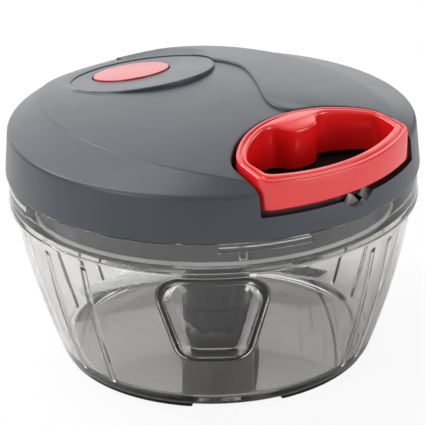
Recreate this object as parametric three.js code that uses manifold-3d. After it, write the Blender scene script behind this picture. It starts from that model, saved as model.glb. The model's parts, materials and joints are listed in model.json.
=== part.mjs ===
// Pull-cord food chopper: a clear bowl under a domed lid. A red handle in the lid draws a cord
// off a reel, the reel turns a stem with three blades, and a spiral spring winds the cord back.
// Millimetres, +Z up. The origin is the centre of the underside, the handle is drawn towards -Y
// and the vent button lies on the +Y side. Every size below drives the shape.
import * as THREE from "three";
import { mergeVertices } from "three/addons/utils/BufferGeometryUtils.js";
import Module from "manifold-3d";

// General clearances and mesh steps
const FIT = 0.3; // gap round a piece that its neighbour holds
const RUN = 0.4; // gap between pieces that turn or slide past each other
const WIDE_STEPS = 48; // sides of the large rings
const MID_STEPS = 24; // sides of hubs, discs and the button
const FINE_STEPS = 12; // sides of screws, pins and bores
const ARC_STEPS = 12; // steps along a drawn arc

// Bowl; the collar and its step follow the skirt of the lid
const SKIRT_R = 65;
const SKIRT_OVER = 0.7; // how far the lid's skirt stands over the collar
const COLLAR_R = SKIRT_R - SKIRT_OVER;
const COLLAR_STEP = 1.3;
const COLLAR_WALL = 2;
const COLLAR_HIGH = 10;
const BASE_R = 49.4; // outer radius at the table
const STEP_R = COLLAR_R - COLLAR_STEP;
const STEP_Z = 51.2; // height of the step under the collar
const RIM_Z = STEP_Z + COLLAR_HIGH;
const BULGE_SHARE = 0.45; // how far the side bows out of a plain cone
const WALL = 2.2;
const FLOOR_LOW_Z = 1;
const FLOOR = 2.6;
const FLOOR_TOP_Z = FLOOR_LOW_Z + FLOOR;
const FOOT_W = 3.8; // width of the foot ring
const FOOT_GAP_DEG = 33; // width of each gap in the foot ring
const FOOT_GAPS = 4;
const FOOT_TURN_DEG = 8;
const SHELF = 2; // thickness of the shelf inside the collar
const BOWL_TURN_DEG = -42.2; // the grips lie at this angle to the handle
const SIDE_STEPS = 6; // levels of the bowl side
const RIB_DEGS = [-39, -54.5, -69, 52, 61, 74]; // ribs each side of a grip, repeated at the back
const RIB_W = 1.6;
const RIB_IN = 0.9; // how far a rib stands into the bowl
const RIB_BITE = 0.6; // how far a rib is rooted in the wall
const RIB_LOW_Z = FLOOR_TOP_Z - FIT;
const RIB_DROP = 3.7; // the ribs end this far under the step
const RIB_STEPS = 4;
const GRIP_DROP = 4.1; // and the grips this far
const GRIP_HIGH = 26.2;
const GRIP_TOP_Z = STEP_Z - GRIP_DROP;
const GRIP_LOW_Z = GRIP_TOP_Z - GRIP_HIGH;
const GRIP_TOP_W = 30;
const GRIP_LOW_W = 20;
const GRIP_DEPTH = 3.4;
const GRIP_CORNER = 5;
const PIN_R = 3;
const PIN_BOSS_WALL = 3.7;
const PIN_BOSS_HIGH = 1.4;
const PIN_BOSS_TOP_Z = FLOOR_TOP_Z + PIN_BOSS_HIGH;
const PIN_SKIN = 1; // floor left under the pin
const PIN_LONG = 13;
const PIN_LOW_Z = FLOOR_LOW_Z + PIN_SKIN;
const PIN_TOP_Z = PIN_LOW_Z + PIN_LONG;
const PIN_NOSE = 0.8;

// Lid base; it stands inside the collar, and everything in the lid is placed from it
const BASE_LIFT = 0.7; // from the bowl's step to the lower edge of the inner skirt
const SKIRT_IN_R = STEP_R - WALL - RUN; // outside of the inner skirt
const SKIRT_IN_WALL = 2;
const SKIRT_IN_LOW_Z = STEP_Z + BASE_LIFT;
const PLATE_LIFT = 2.1;
const PLATE = 2;
const PLATE_LOW_Z = SKIRT_IN_LOW_Z + PLATE_LIFT;
const PLATE_TOP_Z = PLATE_LOW_Z + PLATE;
const FLANGE = 1.8;
const FLANGE_LOW_Z = RIM_Z + RUN;
const FLANGE_TOP_Z = FLANGE_LOW_Z + FLANGE;
const SEAL_LIFT = 0.6;
const SEAL_LOW_Z = SKIRT_IN_LOW_Z + SEAL_LIFT;
const SEAL_HIGH = 1.7;
const SEAL_DEPTH = 1;
const SEAL_STAND = 0.2; // how far the seal stands out of its groove
const POST_DEGS = [-164, -16, 135, 45]; // screw posts, counted from +X
const POST_R = 3.7;
const POST_GAP = 5.9; // from the inner skirt to a post
const POST_PLACE_R = SKIRT_IN_R - SKIRT_IN_WALL - POST_GAP - POST_R;
const SCREW_R = 1.3;
const SCREW_HEAD_R = 2.9;
const SCREW_HEAD = 1.6;
const SCREW_LONG = 9;
const SLOT_W = 0.8;
const SLOT_DEEP = 0.8;

// Bayonet between the lid base and the bowl
const LUGS = 4;
const LUG_DEG = 9; // width of a lug of the lid base
const LEDGE_DEG = 35; // width of a ledge of the bowl
const LUG_TURN_DEG = 15; // where the first lug lies from the grip
const LUG_LIFT = 3.5;
const LUG_LOW_Z = SKIRT_IN_LOW_Z + LUG_LIFT;
const LUG_HIGH = 1.9;
const LEDGE_HIGH = 1.6;
const LEDGE_IN = 1.3;
const STOP_DEG = 2;

// Lid cover
const SKIRT_TAPER = 1.3;
const SKIRT_HIGH = 14.1;
const SKIRT_LOW_Z = RIM_Z + RUN;
const SHOULDER_R = SKIRT_R - SKIRT_TAPER;
const SHOULDER_Z = SKIRT_LOW_Z + SKIRT_HIGH;
const SHOULDER_EDGE = 0.6;
const COVER_WALL = 2.1;
const FLANGE_R = SKIRT_R - COVER_WALL - FIT * 2;
const DOME_HIGH = 9.3;
const CROWN_Z = SHOULDER_Z + DOME_HIGH; // top of the dome
const BAND_SIDE = 15.9; // width of the sloping band at the sides
const BAND_BACK = 1;
const BAND_FRONT = 3.5; // how far the raised middle would reach past the shoulder in front
const BAND_LEAST = 1.2;
const BAND_RISE = 5.4; // height of the sloping band round the raised middle
const BAND_REACH = 5.5; // band width at which most of the rise is there
const EGG_HALF_W = SHOULDER_R - BAND_SIDE; // raised middle: half width, reach behind and in front
const EGG_BACK = SHOULDER_R - BAND_BACK;
const EGG_FRONT = SHOULDER_R + BAND_FRONT;
const PANEL_RISE = 0.9; // leaf panel on the +X side
const PANEL_INSET = 1.6;
const LEAF_EDGE = [[20.6, 24], [27, 8], [-2, -18], [8.4, -31]]; // its S-shaped edge, boss to handle
const BOSS_Y = 33.2;
const BOSS_R = 23.3;
const BOSS_RISE = 1.4;
const BOSS_FRONT_Z = CROWN_Z + BOSS_RISE;
const BOSS_SLOPE_SHARE = -0.19;
const MOAT_DEPTH = 0.8; // the channel round the boss, where the dome stands higher
const MOAT_W = 1.7;
const MOAT_X = 1.2; // the channel is widest towards -X and the back
const MOAT_Y = 0.7;

// Pull handle and its recess
const RECESS_DEPTH = 16.4;
const RECESS_FLOOR_Z = CROWN_Z - RECESS_DEPTH;
const RECESS_FLOOR = 2;
const RECESS_GAP = 1.4;
const RECESS_WALL = 1.8;
const PULL_LIFT = 1.5;
const PULL_DROP = 0.3; // how far the inner edge lies under the crown
const PULL_Z = RECESS_FLOOR_Z + PULL_LIFT; // underside
const PULL_TOP_Z = CROWN_Z - PULL_DROP; // top at the inner edge
const PULL_SLOPE_SHARE = 0.185; // the top falls towards the rim
const PULL_APEX = 29.5; // distance of the inner edge from the axis
const PULL_END_X = 29;
const PULL_END = 43.5;
const PULL_TIP_X = 30.4;
const PULL_BACK = 1.3; // how far it stays inside the skirt
const PULL_OUT_R = SKIRT_R - PULL_BACK;
const PULL_RIM = 4;
const BOW_RIM = 3.2; // width of the rim along the bow
const PULL_BEVEL = 0.7;
const PULL_CORNER = 3.5; // rounding of the two front corners
const BULGE_X = 2.5; // the cord bulge leans to the +X side
const BULGE_HALF_W = 11;
const BULGE_WAIST = 6.5;
const BULGE_DEPTH = 10.7;
const BULGE_REACH = PULL_APEX + BULGE_DEPTH;
const NOTCH_TOP_W = 12;
const NOTCH_LOW_W = 5;
const NOTCH_DEPTH = 2.9;
const NOTCH_IN = 5.7;
const REST_W = 5.4;
const REST_T = 1.8;
const REST_DROP = 0.4; // the rest ends this far under the recess floor
const REST_TOP_Z = RECESS_FLOOR_Z - REST_DROP;

// Cord
const CORD_D = 1.6;
const CORD_PITCH = 2.05;
const CORD_TURNS = 3.5;
const CORD_SIDES = 6;
const CORD_STEPS = 24; // steps per turn of the winding
const GUIDE_BORE_R = 1.2;
const GUIDE_R = 2.2;
const GUIDE_FLANGE_R = 3.2;
const GUIDE_FLANGE = 0.7;
const KNOT_R = 2.2;
const KNOT_IN = 6; // from the inner edge of the handle to the knot
const KNOT_Y = -(PULL_APEX + KNOT_IN);
const KNOT_ROOM = 0.6;

// Drive hub and its bush in the lid base
const WASHER_R = 5;
const WASHER = 0.8;
const HUB_POCKET_R = WASHER_R + WASHER;
const HUB_WALL = 2.2;
const HUB_R = HUB_POCKET_R + HUB_WALL;
const HUB_DROP = 1.2;
const HUB_LOW_Z = PLATE_LOW_Z - HUB_DROP;
const HUB_FLOOR = 0.9;
const HEX_R = HUB_POCKET_R;
const HEX_LONG = 6.6;
const BUSH_WALL = 1.3;
const BUSH_FLANGE = 0.4;
const BUSH_STAND = 0.5; // how far bush and boss stand out of the plate
const BUSH_SEAT = 2.4; // wall of the boss that holds the bush
const BUSH_OUT_R = HUB_R + RUN + BUSH_WALL;
const BUSH_BOSS_R = BUSH_OUT_R + FIT + BUSH_SEAT;
const BUSH_FLANGE_R = BUSH_BOSS_R - BUSH_STAND * 2;
const BUSH_BOSS_TOP_Z = PLATE_TOP_Z + BUSH_STAND;
const BUSH_LOW_Z = PLATE_LOW_Z - BUSH_STAND;

// Reel and recoil spring; the axle hangs from a boss under the dome
const AXLE_R = 3.5;
const AXLE_FLANGE_R = 6;
const AXLE_FLANGE = 1.2;
const AXLE_STUD_R = 2.5;
const AXLE_STUD = 2;
const HANGER_DROP = 4.5;
const HANGER_R = 7.5;
const HANGER_LOW_Z = CROWN_Z - HANGER_DROP; // underside of the boss that holds the axle
const REEL_GAP = 3; // from the recess wall to the reel
const REEL_R = PULL_APEX - RECESS_GAP - RECESS_WALL - REEL_GAP;
const REEL_RIM = 3.9; // depth of the cord groove
const REEL_CORE_R = REEL_R - REEL_RIM;
const REEL_DISC = 1.2;
const REEL_TOP_Z = HANGER_LOW_Z - AXLE_FLANGE - FIT;
const CUP_TOP_Z = REEL_TOP_Z - REEL_DISC - CORD_TURNS * CORD_PITCH - CORD_D - FIT * 2;
const CUP_WALL = 1.6;
const REEL_COVER = 1.2;
const CUP_LOW_Z = BUSH_BOSS_TOP_Z + BUSH_FLANGE + FIT + REEL_COVER;
const SPRING_TURNS = 6;
const SPRING_T = 0.5;
const SPRING_GAP = 0.9; // from the spring's ends to axle and cup
const SPRING_IN_R = AXLE_R + SPRING_GAP;
const SPRING_OUT_R = REEL_R - CUP_WALL - SPRING_GAP;
const SPRING_HIGH = CUP_TOP_Z - REEL_DISC - CUP_LOW_Z - FIT * 2;
const SPRING_STEPS = 16; // steps per turn

// Blade stem and blades
const STEM_WALL = 4.5;
const STEM_TOP_R = HEX_R + FIT + STEM_WALL;
const STEM_LOW_R = 9.2;
const STEM_LOW_Z = PIN_BOSS_TOP_Z + RUN;
const STEM_GAP = 0.5;
const STEM_TOP_Z = HUB_LOW_Z - STEM_GAP;
const STEM_CAP_W = 1.4;
const STEM_CAP_R = STEM_TOP_R + STEM_CAP_W;
const STEM_CAP = 2.4;
const SLEEVE_WALL = 1.2;
const SLEEVE_OUT_R = PIN_R + FIT + SLEEVE_WALL;
const SLEEVE_LOW_Z = STEM_LOW_Z + RUN;
const SLEEVE_LONG = 8;
const SLEEVE_TOP_Z = SLEEVE_LOW_Z + SLEEVE_LONG;
const BLADE_ZS = [10, 22, 34];
const BLADE_DEGS = [20, 140, 260];
const BLADE_GAP = 5.9; // from the blade's reach to the bowl's base radius
const BLADE_R = BASE_R - BLADE_GAP;
const BLADE_T = 1.2;
const BLADE_HOLD = 0.8; // stem left between sleeve and blade root
const BLADE_ROOT_R = SLEEVE_OUT_R + FIT + BLADE_HOLD;
const BLADE_ROOT_W = 11;
const BLADE_TIP_W = 5;
const BLADE_SWEEP = 15; // how far the tip lies behind the root line
const BLADE_EDGE = 2.6; // width of the ground edge
const BLADE_COLLAR = 3;

// Vent button and valve
const BUTTON_R = 12.3;
const BUTTON_STAND = 0.6; // how far the button stands over the boss
const BUTTON_WALL = 2;
const BUTTON_SKIRT = 2.2;
const BUTTON_TRAVEL = 3;
const WELL_WALL = 1.7;
const WELL_DEPTH = 14.2;
const WELL_FLOOR_Z = BOSS_FRONT_Z - WELL_DEPTH;
const WELL_FLOOR = 1.8;
const VENT_GAP = 1.3; // from the reel to the button's well
const VENT_Y = REEL_R + VENT_GAP + WELL_WALL + RUN + BUTTON_R;
const STEM_R = 2.4; // vent stem
const VENT_SPRING_R = 4.8;
const VENT_WIRE_R = 0.4;
const VENT_COILS = 4;
const VENT_STEPS = 8;
const VENT_SIDES = 5;
const VENT_HOLE_R = 4.6;
const VALVE_R = 7;
const VALVE = 1.6;
const VALVE_LIP = 0.5;
const CLIP_R = 4.4;
const CLIP = 0.8;
const STEM_TAIL = 1.4;

const wasm = await Module();
wasm.setup();

const deg = THREE.MathUtils.degToRad;
const POSTS = POST_DEGS.map((angle) => [
  POST_PLACE_R * Math.cos(deg(angle)),
  POST_PLACE_R * Math.sin(deg(angle)),
]);
const group = new THREE.Group();
group.name = "food_chopper";

const red = new THREE.MeshStandardMaterial({ color: 0xc8141e, roughness: 0.28, metalness: 0 });
const slate = new THREE.MeshStandardMaterial({ color: 0x4b5158, roughness: 0.5, metalness: 0 });
const innerGrey = new THREE.MeshStandardMaterial({ color: 0x6a6f74, roughness: 0.5, metalness: 0 });
const clear = new THREE.MeshStandardMaterial({
  color: 0xb9bcbd, roughness: 0.08, metalness: 0, transparent: true, opacity: 0.4,
});
const steel = new THREE.MeshStandardMaterial({ color: 0xc4c7ca, roughness: 0.25, metalness: 1 });
const brass = new THREE.MeshStandardMaterial({ color: 0xb5893f, roughness: 0.35, metalness: 1 });
const white = new THREE.MeshStandardMaterial({ color: 0xe4e4df, roughness: 0.5, metalness: 0 });
const ink = new THREE.MeshStandardMaterial({ color: 0x23262c, roughness: 0.4, metalness: 0 });
const rubber = new THREE.MeshStandardMaterial({ color: 0xd9dad6, roughness: 0.8, metalness: 0 });
const thread = new THREE.MeshStandardMaterial({ color: 0xe9e6dc, roughness: 0.9, metalness: 0 });

// A closed solid of a geometry, facing outwards, without the faces that shrank to a line
function solid(geometry) {
  const bare = geometry.clone();
  bare.deleteAttribute("normal");
  bare.deleteAttribute("uv");
  const merged = mergeVertices(bare, FIT / 3000);
  const index = Array.from(merged.index.array);
  const kept = [];
  for (let i = 0; i < index.length; i += 3) {
    const [a, b, c] = index.slice(i, i + 3);
    if (a !== b && b !== c && c !== a) {
      kept.push(a, b, c);
    }
  }
  const make = (list) =>
    new wasm.Manifold(
      new wasm.Mesh({
        numProp: 3,
        vertProperties: new Float32Array(merged.attributes.position.array),
        triVerts: new Uint32Array(list),
      }),
    );
  const first = make(kept);
  return first.volume() > 0 ? first : make(kept.reverse());
}

function place(name, body, material) {
  const mesh = body.getMesh();
  const points = new Float32Array(mesh.numVert * 3);
  for (let i = 0; i < mesh.numVert; i++) {
    points.set(mesh.vertProperties.subarray(i * mesh.numProp, i * mesh.numProp + 3), i * 3);
  }
  const geometry = new THREE.BufferGeometry();
  geometry.setAttribute("position", new THREE.BufferAttribute(points, 3));
  geometry.setIndex(new THREE.BufferAttribute(mesh.triVerts, 1));
  geometry.computeVertexNormals();
  const piece = new THREE.Mesh(geometry, material);
  piece.name = name;
  group.add(piece);
}

// Turned solid: the profile is a list of [radius, height]
function turned(profile, steps, x = 0, y = 0) {
  const shape = profile.map(([r, z]) => new THREE.Vector2(r, z));
  const geometry = new THREE.LatheGeometry(shape, steps);
  geometry.rotateX(Math.PI / 2);
  geometry.translate(x, y, 0);
  return solid(geometry);
}

function disc(radius, low, high, steps, x = 0, y = 0) {
  return turned([[0, low], [radius, low], [radius, high], [0, high]], steps, x, y);
}

function ring(inner, outer, low, high, steps, x = 0, y = 0) {
  const loop = [[inner, low], [outer, low], [outer, high], [inner, high], [inner, low]];
  return turned(loop, steps, x, y);
}

// Upright prism over a flat outline
function prism(points, low, high, holes = []) {
  const shape = new THREE.Shape(points);
  shape.holes = holes.map((hole) => new THREE.Path(hole));
  const geometry = new THREE.ExtrudeGeometry(shape, { depth: high - low, bevelEnabled: false });
  geometry.translate(0, 0, low);
  return solid(geometry);
}

function arc(x, y, radius, from, to, steps = ARC_STEPS) {
  const points = [];
  for (let i = 0; i <= steps; i++) {
    const a = from + ((to - from) * i) / steps;
    points.push(new THREE.Vector2(x + radius * Math.cos(a), y + radius * Math.sin(a)));
  }
  return points;
}

// Ring sector round the axis, its middle at an angle counted from -Y
function sector(inner, outer, low, high, middle, width) {
  const mid = deg(middle - 90);
  const half = deg(width / 2);
  const steps = Math.max(2, Math.ceil(width / 6));
  const outerArc = arc(0, 0, outer, mid - half, mid + half, steps);
  const innerArc = arc(0, 0, inner, mid + half, mid - half, steps);
  return prism([...outerArc, ...innerArc], low, high);
}

function tube(curve, radius, sides, steps) {
  const circle = new THREE.Shape(arc(0, 0, radius, 0, Math.PI * 2, sides).slice(0, sides));
  return solid(new THREE.ExtrudeGeometry(circle, { steps, extrudePath: curve }));
}

// Raises the upper part of a geometry by a share of y
function tilted(geometry, from, high, share, pivot) {
  const p = geometry.attributes.position;
  for (let i = 0; i < p.count; i++) {
    const lift = Math.max(0, (p.getZ(i) - from) / high);
    p.setZ(i, p.getZ(i) + lift * share * (p.getY(i) - pivot));
  }
  return geometry;
}

// Bowl side: outer radius at a height
function sideR(z) {
  const t = THREE.MathUtils.clamp(z / STEP_Z, 0, 1);
  return BASE_R + (STEP_R - BASE_R) * ((1 + BULGE_SHARE) * t - BULGE_SHARE * t * t);
}

function sideProfile(inset, low, high) {
  const points = [[0, low]];
  for (let i = 0; i <= SIDE_STEPS; i++) {
    const z = low + ((high - low) * i) / SIDE_STEPS;
    points.push([sideR(z) - inset, z]);
  }
  points.push([0, high]);
  return points;
}

function gripOutline(grow) {
  const half = GRIP_TOP_W / 2 + grow;
  const low = GRIP_LOW_W / 2 + grow;
  const c = GRIP_CORNER + grow;
  const bottom = GRIP_LOW_Z - grow;
  const top = GRIP_TOP_Z + grow;
  const shape = new THREE.Shape();
  shape.moveTo(-low + c, bottom);
  shape.lineTo(low - c, bottom);
  shape.quadraticCurveTo(low, bottom, low + c / 4, bottom + c);
  shape.lineTo(half, top - c);
  shape.quadraticCurveTo(half, top, half - c, top);
  shape.lineTo(-half + c, top);
  shape.quadraticCurveTo(-half, top, -half, top - c);
  shape.lineTo(-low - c / 4, bottom + c);
  shape.quadraticCurveTo(-low, bottom, -low + c, bottom);
  return shape;
}

// Grip prism reaching outwards from the axis, before it is turned to its side
function gripBlock(grow) {
  const settings = { depth: STEP_R, bevelEnabled: false, curveSegments: 3 };
  const geometry = new THREE.ExtrudeGeometry(gripOutline(grow), settings);
  geometry.rotateX(Math.PI / 2);
  return solid(geometry);
}

function makeBowl() {
  const topIn = COLLAR_R - COLLAR_WALL;
  const shelfZ = STEP_Z + SHELF;
  const outside = turned(
    [
      ...sideProfile(0, FLOOR_LOW_Z, STEP_Z).slice(0, -1),
      [COLLAR_R, STEP_Z + RUN],
      [COLLAR_R, RIM_Z],
      [0, RIM_Z],
    ],
    WIDE_STEPS,
  );
  const inside = turned(
    [
      ...sideProfile(WALL, FLOOR_TOP_Z, STEP_Z).slice(0, -1),
      [STEP_R - WALL, shelfZ],
      [topIn, shelfZ],
      [topIn, RIM_Z + WALL],
      [0, RIM_Z + WALL],
    ],
    WIDE_STEPS,
  );
  let bowl = outside.subtract(inside);
  // Grips: a hollow outside and its backing inside
  const hollow = gripBlock(0).subtract(turned(sideProfile(GRIP_DEPTH, 0, STEP_Z), WIDE_STEPS));
  const backLimit = turned(sideProfile(WALL / 2, 0, STEP_Z), WIDE_STEPS);
  const backCore = turned(sideProfile(GRIP_DEPTH + WALL, 0, STEP_Z), WIDE_STEPS);
  const backing = gripBlock(WALL).intersect(backLimit).subtract(backCore);
  for (const side of [0, 180]) {
    const turn = [0, 0, BOWL_TURN_DEG + side];
    bowl = bowl.add(backing.rotate(turn)).subtract(hollow.rotate(turn));
  }
  // Ribs inside the wall
  const outer = [];
  const inner = [];
  for (let i = 0; i <= RIB_STEPS; i++) {
    const z = RIB_LOW_Z + ((STEP_Z - RIB_DROP - RIB_LOW_Z) * i) / RIB_STEPS;
    const face = sideR(z) - WALL;
    outer.push(new THREE.Vector2(face + RIB_BITE, z));
    inner.unshift(new THREE.Vector2(face - RIB_IN * (i === RIB_STEPS ? 0 : 1), z));
  }
  const ribFlat = new THREE.ExtrudeGeometry(new THREE.Shape([...outer, ...inner]), {
    depth: RIB_W,
    bevelEnabled: false,
  });
  ribFlat.translate(0, 0, -RIB_W / 2);
  ribFlat.rotateX(Math.PI / 2);
  const rib = solid(ribFlat);
  for (const side of [0, 180]) {
    for (const angle of RIB_DEGS) {
      bowl = bowl.add(rib.rotate([0, 0, angle + side + BOWL_TURN_DEG - 90]));
    }
  }
  // Bayonet ledges with a stop at the locked end
  const ledgeLow = LUG_LOW_Z + LUG_HIGH + RUN;
  const ledgeTurn = BOWL_TURN_DEG + LUG_TURN_DEG;
  for (let i = 0; i < LUGS; i++) {
    const at = ledgeTurn + (360 / LUGS) * i;
    const reach = topIn - LEDGE_IN;
    const root = topIn + COLLAR_WALL / 2;
    const stopAt = at - LUG_DEG / 2 - STOP_DEG;
    bowl = bowl
      .add(sector(reach, root, ledgeLow, ledgeLow + LEDGE_HIGH, at, LEDGE_DEG - LUG_DEG))
      .add(sector(reach, root, LUG_LOW_Z, ledgeLow + LEDGE_HIGH, stopAt, STOP_DEG));
  }
  // Boss for the pin, foot ring in arcs
  bowl = bowl
    .add(disc(PIN_R + PIN_BOSS_WALL, FLOOR_LOW_Z, PIN_BOSS_TOP_Z, MID_STEPS))
    .subtract(disc(PIN_R + FIT, PIN_LOW_Z, PIN_BOSS_TOP_Z + RUN, FINE_STEPS));
  for (let i = 0; i < FOOT_GAPS; i++) {
    const at = BOWL_TURN_DEG + FOOT_TURN_DEG + (360 / FOOT_GAPS) * (i + 1 / 2);
    const width = 360 / FOOT_GAPS - FOOT_GAP_DEG;
    bowl = bowl.add(sector(BASE_R - FOOT_W, BASE_R - FIT, 0, FLOOR_TOP_Z - FIT, at, width));
  }
  return bowl;
}

// Outline of the handle, grown outwards on every side; the arc past the rim has its own radius
const PULL_ARC_R = (PULL_END_X ** 2 + (PULL_END - PULL_APEX) ** 2) / (2 * (PULL_END - PULL_APEX));
const PULL_ARC_Y = -(PULL_APEX + PULL_ARC_R);

function pullOutline(grow, outR, corner = 0) {
  const from = Math.atan2(-PULL_END - PULL_ARC_Y, PULL_END_X);
  const tip = Math.acos((PULL_TIP_X + grow) / outR);
  const bow = arc(0, PULL_ARC_Y, PULL_ARC_R + grow, from, Math.PI - from, ARC_STEPS * 2);
  const turn = tip + corner / outR;
  const front = arc(0, 0, outR, Math.PI + turn, Math.PI * 2 - turn);
  if (corner === 0) {
    return [...bow, ...front];
  }
  // The corner where side and front would meet, drawn round
  const round = (end, next, sign) => {
    const sharp = new THREE.Vector2(sign * outR * Math.cos(tip), -outR * Math.sin(tip));
    const start = sharp.clone().lerp(end, corner / sharp.distanceTo(end));
    return new THREE.QuadraticBezierCurve(start, sharp, next).getPoints(ARC_STEPS / 3).slice(0, -1);
  };
  const left = round(bow[bow.length - 1], front[0], -1);
  const right = round(bow[0], front[front.length - 1], 1);
  return [...bow, ...left, ...front, ...right.reverse()];
}

// Finger hole: the outline set in by the rim, with the cord bulge standing into it
function fingerHole() {
  const r = PULL_ARC_R - BOW_RIM;
  const outR = PULL_OUT_R - PULL_RIM;
  const from = Math.atan2(-PULL_END - PULL_ARC_Y, PULL_END_X);
  const tip = Math.acos((PULL_TIP_X - PULL_RIM) / outR);
  const root = (sign) => Math.acos((BULGE_X + sign * BULGE_HALF_W) / r);
  const bell = (sign) => {
    const rootY = PULL_ARC_Y + r * Math.sin(root(sign));
    return new THREE.CubicBezierCurve(
      new THREE.Vector2(BULGE_X + sign * BULGE_HALF_W, rootY),
      new THREE.Vector2(BULGE_X + sign * (BULGE_WAIST - PULL_RIM / 2), rootY),
      new THREE.Vector2(BULGE_X + sign * (BULGE_WAIST + PULL_RIM / 2), -BULGE_REACH),
      new THREE.Vector2(BULGE_X, -BULGE_REACH),
    ).getPoints(ARC_STEPS / 2);
  };
  return [
    ...arc(0, PULL_ARC_Y, r, from, root(1), ARC_STEPS / 2).slice(0, -1),
    ...bell(1).slice(0, -1),
    ...bell(-1).reverse(),
    ...arc(0, PULL_ARC_Y, r, root(-1), Math.PI - from, ARC_STEPS / 2).slice(1),
    ...arc(0, 0, outR, Math.PI + tip, Math.PI * 2 - tip),
  ];
}

function makePull() {
  const shape = new THREE.Shape(pullOutline(-PULL_BEVEL, PULL_OUT_R - PULL_BEVEL, PULL_CORNER));
  shape.holes = [new THREE.Path(fingerHole())];
  const high = PULL_TOP_Z - PULL_Z;
  const geometry = new THREE.ExtrudeGeometry(shape, {
    depth: high - PULL_BEVEL * 2,
    bevelEnabled: true,
    bevelSize: PULL_BEVEL,
    bevelThickness: PULL_BEVEL,
    bevelSegments: 1,
  });
  geometry.translate(0, 0, PULL_Z + PULL_BEVEL);
  const body = solid(tilted(geometry, PULL_Z, high, PULL_SLOPE_SHARE, -PULL_APEX));
  // Room for the knot, open below, and the hole that the cord comes through
  const room = disc(KNOT_R + KNOT_ROOM, PULL_Z - RUN, CORD_Z + KNOT_R + KNOT_ROOM, FINE_STEPS, 0, KNOT_Y);
  const hole = new THREE.CylinderGeometry(GUIDE_BORE_R, GUIDE_BORE_R, BULGE_HALF_W, FINE_STEPS);
  hole.translate(0, KNOT_Y + BULGE_HALF_W / 2, CORD_Z);
  return body.subtract(room).subtract(solid(hole));
}

// Raised middle of the lid: its edge at an angle, and the height of that edge
function eggR(a, inset) {
  const reach = Math.sin(a) > 0 ? EGG_BACK : EGG_FRONT;
  const r = 1 / Math.hypot(Math.cos(a) / EGG_HALF_W, Math.sin(a) / reach);
  return Math.min(r, SHOULDER_R - BAND_LEAST) - inset;
}

function eggZ(a) {
  const band = SHOULDER_R - eggR(a, 0);
  return SHOULDER_Z + BAND_RISE * (1 - Math.exp(-band / BAND_REACH));
}

// Solid under the lid's top, lowered by drop; the panel uses it raised and cut to the egg
function lidForm(drop, sideInset, low, eggInset = 0, eggOnly = false) {
  const shares = [0.4, 0.75, 1];
  const rings = [];
  for (let i = 0; i < WIDE_STEPS; i++) {
    const a = (i / WIDE_STEPS) * Math.PI * 2;
    const edge = eggR(a, eggInset);
    const profile = [[0, CROWN_Z - drop]];
    for (const s of shares) {
      const z = eggZ(a) + (CROWN_Z - eggZ(a)) * (1 - s * s);
      profile.push([edge * s, z - drop]);
    }
    if (eggOnly) {
      profile.push([edge, low]);
    } else {
      profile.push([SHOULDER_R - SHOULDER_EDGE - sideInset, SHOULDER_Z + SHOULDER_EDGE / 2 - drop]);
      profile.push([SHOULDER_R - sideInset, SHOULDER_Z - SHOULDER_EDGE - drop]);
      profile.push([SKIRT_R - sideInset, low]);
    }
    profile.push([0, low]);
    rings.push(profile.map(([r, z]) => [r * Math.cos(a), r * Math.sin(a), z]));
  }
  const count = rings[0].length;
  const index = [];
  for (let i = 0; i < WIDE_STEPS; i++) {
    const j = (i + 1) % WIDE_STEPS;
    for (let k = 0; k < count - 1; k++) {
      const a = i * count + k;
      const b = j * count + k;
      index.push(a, a + 1, b, a + 1, b + 1, b);
    }
  }
  const geometry = new THREE.BufferGeometry();
  geometry.setAttribute("position", new THREE.Float32BufferAttribute(rings.flat(2), 3));
  geometry.setIndex(index);
  return solid(geometry);
}

// Round slab that keeps to the boss's sloping top: low and high count from that top
function bossSlab(radius, x, y, low, high) {
  const pivot = BOSS_Y - BOSS_R;
  const geometry = new THREE.CylinderGeometry(radius, radius, high - low, WIDE_STEPS / 2);
  geometry.rotateX(Math.PI / 2);
  geometry.translate(x, y - pivot, (high + low) / 2);
  geometry.applyMatrix4(new THREE.Matrix4().makeShear(0, 0, 0, BOSS_SLOPE_SHARE, 0, 0));
  geometry.translate(0, pivot, BOSS_FRONT_Z);
  return solid(geometry);
}

// Top of the boss, and of anything that lies flush in it
function bossForm(radius, y, low, stand) {
  const high = BOSS_FRONT_Z + stand - low;
  const geometry = new THREE.CylinderGeometry(radius, radius, high, WIDE_STEPS / 2);
  geometry.rotateX(Math.PI / 2);
  geometry.translate(0, y, low + high / 2);
  return solid(tilted(geometry, low, high, BOSS_SLOPE_SHARE, BOSS_Y - BOSS_R));
}

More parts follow.
